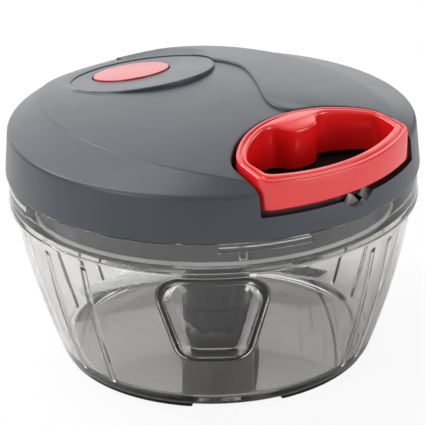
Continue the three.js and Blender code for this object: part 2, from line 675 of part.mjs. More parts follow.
function makeCover() {
  const outside = lidForm(0, 0, SKIRT_LOW_Z);
  const inside = lidForm(COVER_WALL, COVER_WALL, SKIRT_LOW_Z - COVER_WALL);
  // Leaf panel between the S-shaped edge and the side of the raised middle
  const leafPoints = LEAF_EDGE.map(([x, y]) => new THREE.Vector2(x, y));
  const leafEdge = new THREE.CubicBezierCurve(...leafPoints).getPoints(ARC_STEPS);
  const leafArc = arc(0, 0, SKIRT_R, deg(-60), deg(80));
  const leaf = prism([...leafEdge, ...leafArc], SHOULDER_Z, CROWN_Z + COVER_WALL);
  const raised = lidForm(-PANEL_RISE, 0, SHOULDER_Z - COVER_WALL, PANEL_INSET, true);
  const bossTop = bossForm(BOSS_R, BOSS_Y, SHOULDER_Z, 0);
  const skin = outside.add(raised.intersect(leaf)).add(bossTop);
  // Things that hang inside the shell, trimmed to it
  const wellR = BUTTON_R + RUN + WELL_WALL;
  const top = CROWN_Z + COVER_WALL;
  const outline = pullOutline(RECESS_GAP + RECESS_WALL, PULL_OUT_R);
  let hung = prism(outline, RECESS_FLOOR_Z - RECESS_FLOOR, top)
    .add(disc(HANGER_R, HANGER_LOW_Z, CROWN_Z, MID_STEPS))
    .add(disc(wellR, WELL_FLOOR_Z - WELL_FLOOR, BOSS_FRONT_Z, MID_STEPS, 0, VENT_Y));
  for (const [x, y] of POSTS) {
    hung = hung.add(disc(POST_R, PLATE_TOP_Z, CROWN_Z, FINE_STEPS, x, y));
  }
  const moat = (low, high) => bossSlab(BOSS_R + MOAT_W, -MOAT_X, BOSS_Y + MOAT_Y, low, high);
  hung = hung.add(moat(-MOAT_DEPTH - COVER_WALL, -MOAT_DEPTH / 2));
  const trim = lidForm(COVER_WALL / 2, COVER_WALL / 2, PLATE_TOP_Z);
  let cover = skin.subtract(inside).add(hung.intersect(trim));
  const boss = bossSlab(BOSS_R, 0, BOSS_Y, -COVER_WALL, 0);
  cover = cover.subtract(moat(-MOAT_DEPTH, COVER_WALL * 2).subtract(boss));
  // Recess, open towards the rim, with a fingertip notch in its lip
  const recess = pullOutline(RECESS_GAP, SKIRT_R + PULL_RIM);
  cover = cover.subtract(prism(recess, RECESS_FLOOR_Z, top));
  const notch = new THREE.Shape();
  notch.moveTo(-NOTCH_TOP_W / 2, 0);
  notch.lineTo(-NOTCH_LOW_W / 2, -NOTCH_DEPTH);
  notch.quadraticCurveTo(0, -NOTCH_DEPTH - RUN, NOTCH_LOW_W / 2, -NOTCH_DEPTH);
  notch.lineTo(NOTCH_TOP_W / 2, 0);
  notch.lineTo(NOTCH_TOP_W / 2, RUN);
  notch.lineTo(-NOTCH_TOP_W / 2, RUN);
  const scoop = new THREE.ExtrudeGeometry(notch, {
    depth: NOTCH_IN * 2,
    bevelEnabled: false,
    curveSegments: 4,
  });
  scoop.rotateX(Math.PI / 2);
  scoop.translate(0, -SKIRT_R + NOTCH_IN, RECESS_FLOOR_Z);
  cover = cover.subtract(solid(scoop));
  // Bores: cord guide, axle stud, button well, vent stem, screws
  const guide = new THREE.CylinderGeometry(GUIDE_R + FIT, GUIDE_R + FIT, BULGE_WAIST, FINE_STEPS);
  guide.translate(0, GUIDE_Y, CORD_Z);
  cover = cover
    .subtract(solid(guide))
    .subtract(disc(AXLE_STUD_R + FIT, HANGER_LOW_Z - RUN, HANGER_LOW_Z + AXLE_STUD + RUN, FINE_STEPS))
    .subtract(disc(BUTTON_R + RUN, WELL_FLOOR_Z, top + RUN, MID_STEPS, 0, VENT_Y))
    .subtract(disc(STEM_R + RUN, PLATE_TOP_Z, top, FINE_STEPS, 0, VENT_Y));
  for (const [x, y] of POSTS) {
    const deep = PLATE_TOP_Z + SCREW_LONG;
    cover = cover.subtract(disc(SCREW_R + FIT, PLATE_LOW_Z, deep, FINE_STEPS, x, y));
  }
  return cover;
}

function makeBase() {
  const skirtInner = SKIRT_IN_R - SKIRT_IN_WALL;
  let base = disc(SKIRT_IN_R - FIT, PLATE_LOW_Z, PLATE_TOP_Z, WIDE_STEPS)
    .add(ring(skirtInner, SKIRT_IN_R, SKIRT_IN_LOW_Z, FLANGE_TOP_Z, WIDE_STEPS))
    .add(ring(skirtInner, FLANGE_R, FLANGE_LOW_Z, FLANGE_TOP_Z, WIDE_STEPS))
    .add(disc(BUSH_BOSS_R, PLATE_LOW_Z, BUSH_BOSS_TOP_Z, MID_STEPS));
  for (let i = 0; i < LUGS; i++) {
    const at = BOWL_TURN_DEG + LUG_TURN_DEG + (360 / LUGS) * i;
    const out = COLLAR_R - COLLAR_WALL - RUN;
    const root = SKIRT_IN_R - SKIRT_IN_WALL / 2;
    base = base.add(sector(root, out, LUG_LOW_Z, LUG_LOW_Z + LUG_HIGH, at, LUG_DEG));
  }
  const groove = ring(
    SKIRT_IN_R - SEAL_DEPTH,
    SKIRT_IN_R + SEAL_DEPTH,
    SEAL_LOW_Z,
    SEAL_LOW_Z + SEAL_HIGH,
    WIDE_STEPS,
  );
  base = base
    .subtract(groove)
    .subtract(disc(BUSH_OUT_R + FIT, PLATE_LOW_Z - RUN, BUSH_BOSS_TOP_Z + RUN, MID_STEPS))
    .subtract(disc(VENT_HOLE_R, PLATE_LOW_Z - RUN, PLATE_TOP_Z + RUN, MID_STEPS, 0, VENT_Y));
  for (const [x, y] of POSTS) {
    const hole = disc(SCREW_R + FIT, PLATE_LOW_Z - RUN, PLATE_TOP_Z + RUN, FINE_STEPS, x, y);
    base = base.subtract(hole);
  }
  return base;
}

// Screw from below: the head's upper face seats at the given height
function screw(x, y, seat, long) {
  let body = disc(SCREW_R, seat - SCREW_HEAD / 2, seat + long, FINE_STEPS, x, y).add(
    turned(
      [
        [0, seat - SCREW_HEAD],
        [SCREW_HEAD_R - SCREW_HEAD / 2, seat - SCREW_HEAD],
        [SCREW_HEAD_R, seat - SCREW_HEAD / 2],
        [SCREW_HEAD_R, seat],
        [0, seat],
      ],
      FINE_STEPS,
      x,
      y,
    ),
  );
  for (const turn of [0, Math.PI / 2]) {
    const slot = new THREE.BoxGeometry(SCREW_HEAD_R, SLOT_W, SLOT_DEEP * 2);
    slot.rotateZ(turn);
    slot.translate(x, y, seat - SCREW_HEAD);
    body = body.subtract(solid(slot));
  }
  return body;
}

// Cord: the winding climbs the reel and leaves it at the tangent towards the guide
const CORD_R = REEL_CORE_R + CORD_D / 2 + FIT;
const CORD_Z = REEL_TOP_Z - REEL_DISC - FIT - CORD_D / 2;
const WALL_Y = -(PULL_APEX - RECESS_GAP - RECESS_WALL);
const GUIDE_Y = WALL_Y - RECESS_WALL / 2;
const BEND_Y = WALL_Y + GUIDE_FLANGE + CORD_D / 2; // where the cord turns into the guide
const LEAVE = -Math.PI / 2 - Math.acos(CORD_R / -BEND_Y);

class Winding extends THREE.Curve {
  getPoint(t) {
    const back = (1 - t) * CORD_TURNS;
    const a = LEAVE - back * Math.PI * 2;
    return new THREE.Vector3(
      CORD_R * Math.cos(a),
      CORD_R * Math.sin(a),
      CORD_Z - back * CORD_PITCH,
    );
  }
}

class Coil extends THREE.Curve {
  constructor(radius, low, high, coils, y) {
    super();
    this.set = { radius, low, high, coils, y };
  }
  getPoint(t) {
    const { radius, low, high, coils, y } = this.set;
    const a = t * coils * Math.PI * 2;
    return new THREE.Vector3(
      radius * Math.cos(a),
      y + radius * Math.sin(a),
      low + (high - low) * t,
    );
  }
}

// Least gap between points of a curve that lie more than half a loop apart
function leastGap(curve, loops, thickness) {
  const count = CORD_STEPS * loops * 2;
  const points = curve.getPoints(count);
  let least = Infinity;
  for (let i = 0; i < points.length; i++) {
    for (let j = i + CORD_STEPS; j < points.length; j++) {
      least = Math.min(least, points[i].distanceTo(points[j]));
    }
  }
  return least - thickness;
}

function makeSpiral() {
  const outer = [];
  const inner = [];
  const count = SPRING_TURNS * SPRING_STEPS;
  for (let i = 0; i <= count; i++) {
    const a = (i / SPRING_STEPS) * Math.PI * 2;
    const r = SPRING_IN_R + ((SPRING_OUT_R - SPRING_IN_R) * i) / count;
    const direction = new THREE.Vector2(Math.cos(a), Math.sin(a));
    outer.push(direction.clone().multiplyScalar(r + SPRING_T / 2));
    inner.unshift(direction.clone().multiplyScalar(r - SPRING_T / 2));
  }
  const low = CUP_LOW_Z + FIT;
  return prism([...outer, ...inner], low, low + SPRING_HIGH);
}

function hexagon(radius, low, high) {
  return disc(radius, low, high, 6);
}

// Blade: a sickle from the root to the tip, its front edge ground to a wedge
function bladeFlat() {
  const shape = new THREE.Shape();
  const w = BLADE_ROOT_W / 2;
  const mid = BLADE_R * (3 / 5);
  shape.moveTo(BLADE_ROOT_R, -w);
  shape.quadraticCurveTo(mid, -w, BLADE_R, BLADE_SWEEP - BLADE_TIP_W);
  shape.lineTo(BLADE_R - BLADE_TIP_W / 2, BLADE_SWEEP);
  shape.quadraticCurveTo(mid, w, BLADE_ROOT_R, w);
  return shape;
}

function makeBlade(z, angle) {
  const settings = { depth: BLADE_T, bevelEnabled: false, curveSegments: 8 };
  const plate = new THREE.ExtrudeGeometry(bladeFlat(), settings);
  plate.translate(0, 0, z);
  // The ground edge follows the front curve: a wedge swept along it takes the lower corner off
  const front = new THREE.QuadraticBezierCurve(
    new THREE.Vector2(STEM_TOP_R + RUN, -BLADE_ROOT_W / 2),
    new THREE.Vector2(BLADE_R * (3 / 5), -BLADE_ROOT_W / 2),
    new THREE.Vector2(BLADE_R + BLADE_EDGE, BLADE_SWEEP - BLADE_TIP_W + BLADE_EDGE / 2),
  ).getPoints(8);
  const wedge = [];
  for (const p of front) {
    wedge.push([p.x, p.y - BLADE_EDGE, z - BLADE_T / 2]);
    wedge.push([p.x, p.y + BLADE_EDGE, z - BLADE_T / 2]);
    wedge.push([p.x, p.y - BLADE_EDGE, z + BLADE_T * (3 / 2)]);
  }
  const index = [];
  for (let i = 0; i < front.length - 1; i++) {
    for (let k = 0; k < 3; k++) {
      const a = i * 3 + k;
      const b = i * 3 + ((k + 1) % 3);
      index.push(a, b, a + 3, b, b + 3, a + 3);
    }
  }
  const last = (front.length - 1) * 3;
  index.push(0, 2, 1, last, last + 1, last + 2);
  const geometry = new THREE.BufferGeometry();
  geometry.setAttribute("position", new THREE.Float32BufferAttribute(wedge.flat(), 3));
  geometry.setIndex(index);
  return solid(plate).subtract(solid(geometry)).rotate([0, 0, angle]);
}

function makeStem() {
  const capLow = STEM_TOP_Z - STEM_CAP;
  const profile = [[0, STEM_LOW_Z], [STEM_LOW_R - RUN, STEM_LOW_Z], [STEM_LOW_R, STEM_LOW_Z + RUN]];
  profile.push([STEM_TOP_R, capLow - STEM_CAP], [STEM_CAP_R, capLow], [STEM_CAP_R, STEM_TOP_Z]);
  profile.push([0, STEM_TOP_Z]);
  let stem = turned(profile, MID_STEPS);
  BLADE_ZS.forEach((z) => {
    const middle = z + BLADE_T / 2;
    stem = stem.add(
      disc(STEM_TOP_R + RUN, middle - BLADE_COLLAR, middle + BLADE_COLLAR, MID_STEPS),
    );
  });
  const settings = { depth: BLADE_T + FIT * 2, bevelEnabled: false };
  BLADE_ZS.forEach((z, i) => {
    const half = BLADE_ROOT_W / 2 + FIT;
    const from = BLADE_ROOT_R - FIT;
    const shape = new THREE.Shape();
    shape.moveTo(from, -half);
    shape.lineTo(BLADE_R, -half);
    shape.lineTo(BLADE_R, half);
    shape.lineTo(from, half);
    const slot = new THREE.ExtrudeGeometry(shape, settings);
    slot.translate(0, 0, z - FIT);
    stem = stem.subtract(solid(slot).rotate([0, 0, BLADE_DEGS[i]]));
  });
  const socketLow = HUB_LOW_Z - HEX_LONG - RUN;
  return stem
    .subtract(disc(SLEEVE_OUT_R + FIT, STEM_LOW_Z - RUN, SLEEVE_TOP_Z + FIT, FINE_STEPS))
    .subtract(disc(PIN_R + FIT, SLEEVE_TOP_Z, PIN_TOP_Z + RUN, FINE_STEPS))
    .subtract(hexagon(HEX_R + FIT, socketLow, STEM_TOP_Z + RUN));
}

function makeReel() {
  const low = CUP_TOP_Z - REEL_DISC;
  const bore = AXLE_R + RUN;
  return turned(
    [
      [bore, low],
      [REEL_R - CUP_WALL, low],
      [REEL_R - CUP_WALL, CUP_LOW_Z],
      [REEL_R, CUP_LOW_Z],
      [REEL_R, CUP_TOP_Z],
      [REEL_CORE_R, CUP_TOP_Z],
      [REEL_CORE_R, REEL_TOP_Z - REEL_DISC],
      [REEL_R, REEL_TOP_Z - REEL_DISC],
      [REEL_R, REEL_TOP_Z],
      [bore, REEL_TOP_Z],
      [bore, low],
    ],
    MID_STEPS,
  );
}

const SHAFT_LOW_Z = CUP_LOW_Z - REEL_COVER - FIT;

function makeAxle() {
  return turned(
    [
      [0, SHAFT_LOW_Z],
      [AXLE_R, SHAFT_LOW_Z],
      [AXLE_R, HANGER_LOW_Z - AXLE_FLANGE],
      [AXLE_FLANGE_R, HANGER_LOW_Z - AXLE_FLANGE],
      [AXLE_FLANGE_R, HANGER_LOW_Z],
      [AXLE_STUD_R, HANGER_LOW_Z],
      [AXLE_STUD_R, HANGER_LOW_Z + AXLE_STUD],
      [0, HANGER_LOW_Z + AXLE_STUD],
    ],
    FINE_STEPS,
  ).subtract(disc(SCREW_R + FIT, SHAFT_LOW_Z - RUN, SHAFT_LOW_Z + SCREW_LONG, FINE_STEPS));
}

function makeHub() {
  const top = CUP_LOW_Z - REEL_COVER;
  return disc(HUB_R, HUB_LOW_Z, top, MID_STEPS)
    .subtract(disc(HUB_POCKET_R, HUB_LOW_Z + HUB_FLOOR, top + RUN, MID_STEPS))
    .add(hexagon(HEX_R, HUB_LOW_Z - HEX_LONG, HUB_LOW_Z + HUB_FLOOR / 2));
}

function makeBush() {
  const inner = HUB_R + RUN;
  const outer = BUSH_OUT_R;
  return turned(
    [
      [inner, BUSH_LOW_Z],
      [outer, BUSH_LOW_Z],
      [outer, BUSH_BOSS_TOP_Z],
      [BUSH_FLANGE_R, BUSH_BOSS_TOP_Z],
      [BUSH_FLANGE_R, BUSH_BOSS_TOP_Z + BUSH_FLANGE],
      [inner, BUSH_BOSS_TOP_Z + BUSH_FLANGE],
      [inner, BUSH_LOW_Z],
    ],
    MID_STEPS,
  );
}

function makeGuide() {
  const flangeEnd = WALL_Y + GUIDE_FLANGE;
  const tip = WALL_Y - RECESS_WALL;
  const profile = [
    [GUIDE_BORE_R, tip],
    [GUIDE_R, tip],
    [GUIDE_R, WALL_Y],
    [GUIDE_FLANGE_R, WALL_Y],
    [GUIDE_FLANGE_R, flangeEnd],
    [GUIDE_BORE_R * 2, flangeEnd],
    [GUIDE_BORE_R, WALL_Y],
    [GUIDE_BORE_R, tip],
  ];
  const points = profile.map(([r, y]) => new THREE.Vector2(r, y));
  const geometry = new THREE.LatheGeometry(points, FINE_STEPS);
  geometry.translate(0, 0, CORD_Z);
  return solid(geometry);
}

function makeButton() {
  const crown = bossForm(BUTTON_R, VENT_Y, BUTTON_LOW_Z, BUTTON_STAND);
  const roof = BUTTON_LOW_Z + BUTTON_SKIRT;
  return crown
    .subtract(disc(BUTTON_R - BUTTON_WALL, BUTTON_LOW_Z - RUN, roof, MID_STEPS, 0, VENT_Y))
    .add(ring(STEM_R + FIT, STEM_R + FIT + WALL / 2, BUTTON_LOW_Z, roof + RUN, FINE_STEPS, 0, VENT_Y));
}

// Vent heights: the cap hangs so that its full travel ends on the well floor
const BUTTON_LOW_Z = WELL_FLOOR_Z + BUTTON_TRAVEL + RUN;
const BUTTON_ROOF_Z = BUTTON_LOW_Z + BUTTON_SKIRT;
const CLIP_TOP_Z = WELL_FLOOR_Z - WELL_FLOOR;
const VALVE_TOP_Z = PLATE_LOW_Z;

function makeVentStem() {
  const tail = VALVE_TOP_Z - VALVE - STEM_TAIL;
  const groove = CLIP_TOP_Z - CLIP;
  const neck = STEM_R - WALL / 4;
  return turned(
    [
      [0, tail],
      [STEM_R + VALVE_LIP, tail],
      [STEM_R + VALVE_LIP, tail + STEM_TAIL],
      [STEM_R, tail + STEM_TAIL],
      [STEM_R, groove],
      [neck, groove],
      [neck, CLIP_TOP_Z],
      [STEM_R, CLIP_TOP_Z],
      [STEM_R, BUTTON_ROOF_Z],
      [0, BUTTON_ROOF_Z],
    ],
    FINE_STEPS,
    0,
    VENT_Y,
  );
}

function makeClip() {
  const neck = STEM_R - WALL / 4;
  const gap = new THREE.BoxGeometry(neck * 2, CLIP_R * 2, CLIP * 4);
  gap.translate(0, VENT_Y + CLIP_R, CLIP_TOP_Z);
  return ring(neck + FIT / 3, CLIP_R, CLIP_TOP_Z - CLIP, CLIP_TOP_Z, FINE_STEPS, 0, VENT_Y).subtract(
    solid(gap),
  );
}

function makeValve() {
  return turned(
    [
      [STEM_R + FIT / 3, VALVE_TOP_Z - VALVE],
      [VALVE_R - VALVE, VALVE_TOP_Z - VALVE],
      [VALVE_R, VALVE_TOP_Z - VALVE_LIP],
      [VALVE_R, VALVE_TOP_Z],
      [STEM_R + FIT / 3, VALVE_TOP_Z],
      [STEM_R + FIT / 3, VALVE_TOP_Z - VALVE],
    ],
    MID_STEPS,
    0,
    VENT_Y,
  );
}

function makeRest() {
  const half = REST_W / 2;
  const shape = new THREE.Shape();
  shape.moveTo(-half, 0);
  shape.lineTo(half, 0);
  shape.lineTo(half, REST_TOP_Z - FLANGE_TOP_Z - half);
  shape.lineTo(0, REST_TOP_Z - FLANGE_TOP_Z);
  shape.lineTo(-half, REST_TOP_Z - FLANGE_TOP_Z - half);
  const geometry = new THREE.ExtrudeGeometry(shape, { depth: REST_T, bevelEnabled: false });
  geometry.rotateX(Math.PI / 2);
  geometry.translate(0, -FLANGE_R + REST_T + RUN, FLANGE_TOP_Z);
  return solid(geometry);
}

// Bowl and its pin
place("bowl", makeBowl(), clear);
place(
  "pivot_pin",
  turned(
    [
      [0, PIN_LOW_Z],
      [PIN_R, PIN_LOW_Z],
      [PIN_R, PIN_TOP_Z - PIN_NOSE],
      [PIN_R - PIN_NOSE, PIN_TOP_Z],
      [0, PIN_TOP_Z],
    ],
    FINE_STEPS,
  ),
  steel,
);

// Lid
place("lid_cover", makeCover(), slate);
place("lid_base", makeBase(), innerGrey);
const sealIn = SKIRT_IN_R - SEAL_DEPTH;
const sealOut = SKIRT_IN_R + SEAL_STAND;
place("seal_ring", ring(sealIn, sealOut, SEAL_LOW_Z, SEAL_LOW_Z + SEAL_HIGH, WIDE_STEPS), rubber);
place("handle_rest", makeRest(), innerGrey);
POSTS.forEach(([x, y], i) => {
  place("lid_screw_" + (i + 1), screw(x, y, PLATE_LOW_Z, SCREW_LONG), steel);
});
place("cord_guide", makeGuide(), steel);
place("reel_axle", makeAxle(), steel);
const washerLow = SHAFT_LOW_Z - WASHER;
place(
  "axle_washer",
  ring(SCREW_R + FIT, WASHER_R, washerLow, SHAFT_LOW_Z, FINE_STEPS),
  steel,
);
place("axle_screw", screw(0, 0, washerLow, SCREW_LONG), steel);
place("hub_bush", makeBush(), brass);

// Reel, spring, hub and cord
place("cord_reel", makeReel(), white);
const coverBore = AXLE_R + RUN;
place(
  "reel_cover",
  ring(coverBore, REEL_R, CUP_LOW_Z - REEL_COVER, CUP_LOW_Z, MID_STEPS),
  white,
);
place("recoil_spring", makeSpiral(), steel);
place("drive_hub", makeHub(), ink);
const winding = new Winding();
const cordSteps = CORD_STEPS * CORD_TURNS;
place("cord_winding", tube(winding, CORD_D / 2, CORD_SIDES, cordSteps), thread);
const leave = winding.getPoint(1);
const bend = new THREE.Vector3(0, BEND_Y, CORD_Z);
const far = leave.distanceTo(bend);
// The lead begins where it has cleared the turns that pass under it
const cleared = Math.sqrt((CORD_R + CORD_D + FIT) ** 2 - CORD_R ** 2);
const lead = new THREE.CatmullRomCurve3(
  [
    leave.clone().lerp(bend, cleared / far),
    bend.clone().lerp(leave, CORD_D / far),
    new THREE.Vector3(0, WALL_Y + GUIDE_FLANGE / 2, CORD_Z),
    new THREE.Vector3(0, WALL_Y - RECESS_WALL, CORD_Z),
  ],
  false,
  "centripetal",
);
place("cord_lead", tube(lead, CORD_D / 2, CORD_SIDES, ARC_STEPS), thread);
console.log("least gap of the winding to itself:", leastGap(winding, CORD_TURNS, CORD_D).toFixed(2));

// Blade stem and blades
place("blade_carrier", makeStem(), ink);
place(
  "stem_sleeve",
  ring(PIN_R + FIT, SLEEVE_OUT_R, SLEEVE_LOW_Z, SLEEVE_TOP_Z, FINE_STEPS),
  brass,
);
["blade_lower", "blade_middle", "blade_upper"].forEach((name, i) => {
  place(name, makeBlade(BLADE_ZS[i], BLADE_DEGS[i]), steel);
});

// Pull handle with the knotted end of the cord
place("pull_handle", makePull(), red);
const knot = new THREE.SphereGeometry(KNOT_R, FINE_STEPS, FINE_STEPS / 2);
knot.translate(0, KNOT_Y, CORD_Z);
place("cord_knot", solid(knot), thread);
const tailFrom = new THREE.Vector3(0, WALL_Y - RECESS_WALL - FIT, CORD_Z);
const tailTo = new THREE.Vector3(0, KNOT_Y + KNOT_R + FIT / 3, CORD_Z);
const tail = new THREE.LineCurve3(tailFrom, tailTo);
place("cord_tail", tube(tail, CORD_D / 2, CORD_SIDES, 1), thread);

// Vent button, its stem, spring, clip and valve
place("vent_button", makeButton(), red);
place("vent_stem", makeVentStem(), white);
const springLow = WELL_FLOOR_Z + VENT_WIRE_R;
const springHigh = BUTTON_ROOF_Z - VENT_WIRE_R;
const coil = new Coil(VENT_SPRING_R, springLow, springHigh, VENT_COILS, VENT_Y);
const coilSteps = VENT_COILS * VENT_STEPS;
place("vent_spring", tube(coil, VENT_WIRE_R, VENT_SIDES, coilSteps), steel);
place("vent_clip", makeClip(), steel);
place("vent_valve", makeValve(), rubber);

export default group;
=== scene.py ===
# %% [markdown]
# # A pull-cord food chopper
# A clear bowl stands under a domed lid. A red handle rests in a recess of the lid, and its cord
# turns a reel, a stem and three blades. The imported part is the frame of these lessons: the pieces
# that show get a finer form on the same sizes, and every piece gets its finish.

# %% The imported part
import json
import math

import bmesh
import bpy
from mathutils import Matrix, Vector
from mathutils.geometry import tessellate_polygon


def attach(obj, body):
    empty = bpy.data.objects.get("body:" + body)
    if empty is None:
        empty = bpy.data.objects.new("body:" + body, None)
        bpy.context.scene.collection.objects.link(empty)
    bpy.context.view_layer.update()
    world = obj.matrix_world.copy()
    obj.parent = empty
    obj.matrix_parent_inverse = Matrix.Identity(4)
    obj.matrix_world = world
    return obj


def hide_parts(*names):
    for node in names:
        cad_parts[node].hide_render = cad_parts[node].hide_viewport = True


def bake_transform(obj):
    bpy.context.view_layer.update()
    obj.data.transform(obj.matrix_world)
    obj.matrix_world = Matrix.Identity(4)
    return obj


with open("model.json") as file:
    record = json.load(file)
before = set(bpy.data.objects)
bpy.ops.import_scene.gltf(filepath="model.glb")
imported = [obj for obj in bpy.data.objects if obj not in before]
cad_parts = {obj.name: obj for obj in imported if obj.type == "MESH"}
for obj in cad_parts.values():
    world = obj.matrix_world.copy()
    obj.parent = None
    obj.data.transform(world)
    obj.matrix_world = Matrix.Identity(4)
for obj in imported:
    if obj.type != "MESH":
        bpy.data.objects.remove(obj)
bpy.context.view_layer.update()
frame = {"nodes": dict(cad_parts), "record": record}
nodes = frame["nodes"]

# %% [markdown]
# ## Leading sizes
# All lengths are in millimetres, as a maker would write them, and MM turns them into Blender's
# metres. They could be typed in one by one, but then bowl and lid would soon not fit. So the skirt
# of the lid leads, and collar and shoulder follow it.

# %% Leading sizes
MM = 0.001
RUN = 0.4  # room between two pieces that move past each other
SKIRT_R = 65  # the lid at its lower edge
COLLAR_R = SKIRT_R - 0.7
SHOULDER_R = SKIRT_R - 1.3
STEP_Z = 51.2  # where the bowl steps out to its collar
RIM_Z = STEP_Z + 10
SKIRT_LOW_Z = RIM_Z + RUN
SHOULDER_Z = SKIRT_LOW_Z + 14.1
CROWN_Z = SHOULDER_Z + 9.3
print("lid", 2 * SKIRT_R, "mm across, its crown", round(CROWN_Z, 1), "mm above the table")

# %% [markdown]
# ## Outlines and profiles
# Moulded plastic has no sharp corner. A bevel modifier could round the finished mesh, but it
# stumbles over cut edges, so the drawn line is rounded before it becomes a solid.


# %% Rounding a profile
APART = 2.1  # keeps the rounds at both ends of a short side apart


def bend(start, corner, end, steps):
    """A curve that leaves start towards the corner and reaches end from there."""
    shares = [k / steps for k in range(steps + 1)]
    return [start * (1 - t) ** 2 + corner * (2 * t * (1 - t)) + end * t**2 for t in shares]


def soften(profile, reach=0.3, steps=3):
    """Rounds every corner of a profile; its ends stay."""
    points = [Vector(p) for p in profile]
    out = [points[0]]
    for a, p, b in zip(points, points[1:], points[2:]):
        cut = min(reach, (a - p).length / APART, (b - p).length / APART)
        out += bend(p + (a - p).normalized() * cut, p, p + (b - p).normalized() * cut, steps)
    return out + [points[-1]]


square = [(0, 0), (1, 0), (1, 1), (0, 1)]
print("a line of", len(square), "points softens to", len(soften(square)))


# %% Arcs and shifted outlines
def arc(x, y, radius, start, end, steps):
    angles = [start + (end - start) * i / steps for i in range(steps + 1)]
    return [(x + radius * math.cos(a), y + radius * math.sin(a)) for a in angles]


def shift(loop, by):
    """Moves an outline to its right-hand side, which is outwards where it runs anticlockwise."""
    points = [Vector(p) for p in loop]
    n = len(points)
    out = []
    for i in range(n):
        along = points[(i + 1) % n] - points[i - 1]
        along.normalize()
        out.append(points[i] + Vector((along.y, -along.x)) * by)
    return out


def rise(loop, height):
    """Lifts a flat outline to one height, or to a height that depends on the place."""
    return [(x, y, height(x, y) if callable(height) else height) for x, y in loop]


def smooth(t):
    """Runs from 0 to 1 without a kink at either end."""
    t = min(1, max(0, t))
    return t * t * (3 - 2 * t)


wide = shift(arc(0, 0, 10, 0, 2 * math.pi, 24)[:-1], 1)
print("a circle of 10 shifted by 1 has a radius of", round(wide[0].length, 2))


# %% Rounding an outline
def ease(loop, reach, limit=12, steps=8):
    """Rounds the corners of a closed outline that turn by more than limit degrees."""
    points = [Vector(p) for p in loop]
    n = len(points)

    def walk(i, way):
        left = reach
        while True:
            here, there = points[i % n], points[(i + way) % n]
            span = (there - here).length
            if span >= left:
                return i + way, here.lerp(there, left / span)
            left -= span
            i += way

    cuts = []
    for i in range(n):
        before, after = points[i] - points[i - 1], points[(i + 1) % n] - points[i]
        if before.length * after.length and before.angle(after) > math.radians(limit):
            (back, start), (ahead, end) = walk(i, -1), walk(i, 1)
            cuts.append((back, ahead, bend(start, points[i], end, steps)))
    gone, put = set(), {}
    for back, ahead, curve in cuts:
        gone.update(k % n for k in range(back + 1, ahead))
        put[back % n] = curve
    out = []
    for i in range(n):
        if i not in gone:
            out.append(points[i])
        if i in put:
            out += put[i]
    return out


print("an eased square has", len(ease(square, 0.2)), "points")

# %% [markdown]
# ## From lines to solids
# Stacked rings make the forms that change with height, and a profile turned round an axis makes
# the round ones. Modelling by hand would be quicker once and slower at every change. Both ways
# give closed meshes, which can be cut and joined.


# %% Stacked rings
def make(name, points, faces):
    """A new object from points in millimetres."""
    mesh = bpy.data.meshes.new(name)
    mesh.from_pydata([Vector(p) * MM for p in points], [], faces)
    mesh.validate()
    piece = bpy.data.objects.new(name, mesh)
    bpy.context.scene.collection.objects.link(piece)
    return piece


def stack(name, rings):
    """A skin over rings of equally many points, closed by a cap at either end."""
    n = len(rings[0])
    points = [p for ring in rings for p in ring]
    faces = []
    for j in range(len(rings) - 1):
        low, high = j * n, (j + 1) * n
        for i in range(n):
            k = (i + 1) % n
            faces.append((low + i, low + k, high + k, high + i))
    for ring, base in ((rings[0], 0), (rings[-1], (len(rings) - 1) * n)):
        for tri in tessellate_polygon([[Vector(p) for p in ring]]):
            faces.append([base + i for i in (tri[::-1] if base == 0 else tri)])
    return make(name, points, faces)


caps = tessellate_polygon([[Vector((*p, 0)) for p in square]])
print("a square ring is capped by", len(caps), "triangles")


# %% Turned profiles
TURN_STEPS = 96


def turned(name, profile, steps=TURN_STEPS, at=(0, 0), tilt=None):
    """Turns a profile that starts and ends on the axis; tilt lifts each point by its place."""
    inner = profile[1:-1]
    points, faces = [], []
    for i in range(steps):
        a = 2 * math.pi * i / steps
        points += [(at[0] + r * math.cos(a), at[1] + r * math.sin(a), z) for r, z in inner]
    n = len(inner)
    low, high = len(points), len(points) + 1
    for i in range(steps):
        j = (i + 1) % steps
        for k in range(n - 1):
            faces.append((i * n + k, j * n + k, j * n + k + 1, i * n + k + 1))
    points += [(at[0], at[1], profile[0][1]), (at[0], at[1], profile[-1][1])]
    for i in range(steps):
        j = (i + 1) % steps
        faces += [(low, j * n, i * n), (high, i * n + n - 1, j * n + n - 1)]
    if tilt:
        points = [(x, y, z + tilt(x, y, z)) for x, y, z in points]
    return make(name, points, faces)


def drum(name, radius, low, high, steps=TURN_STEPS, at=(0, 0), tilt=None):
    """A plain turned block."""
    return turned(name, [(0, low), (radius, low), (radius, high), (0, high)], steps, at, tilt)


print("facets of", round(2 * math.pi * SKIRT_R / TURN_STEPS, 1), "mm on a turned skirt")


# %% Cutting and joining
SHARP_DEG = 32


def outward(piece):
    """Turns the faces of a closed mesh outwards."""
    work = bmesh.new()
    work.from_mesh(piece.data)
    bmesh.ops.recalc_face_normals(work, faces=work.faces)
    if work.calc_volume(signed=True) < 0:
        bmesh.ops.reverse_faces(work, faces=work.faces)
    work.to_mesh(piece.data)
    work.free()
    return piece


def carve(piece, others, how="DIFFERENCE"):
    """Joins or cuts a piece with helper solids, which are used up."""
    for other in others:
        outward(other)
        step = piece.modifiers.new("carve", "BOOLEAN")
        step.operation = how
        step.solver = "MANIFOLD"
        step.object = other
        graph = bpy.context.evaluated_depsgraph_get()
        mesh = bpy.data.meshes.new_from_object(piece.evaluated_get(graph))
        piece.modifiers.clear()
        old = piece.data
        piece.data = mesh
        bpy.data.meshes.remove(old)
        bpy.data.objects.remove(other)
    return piece


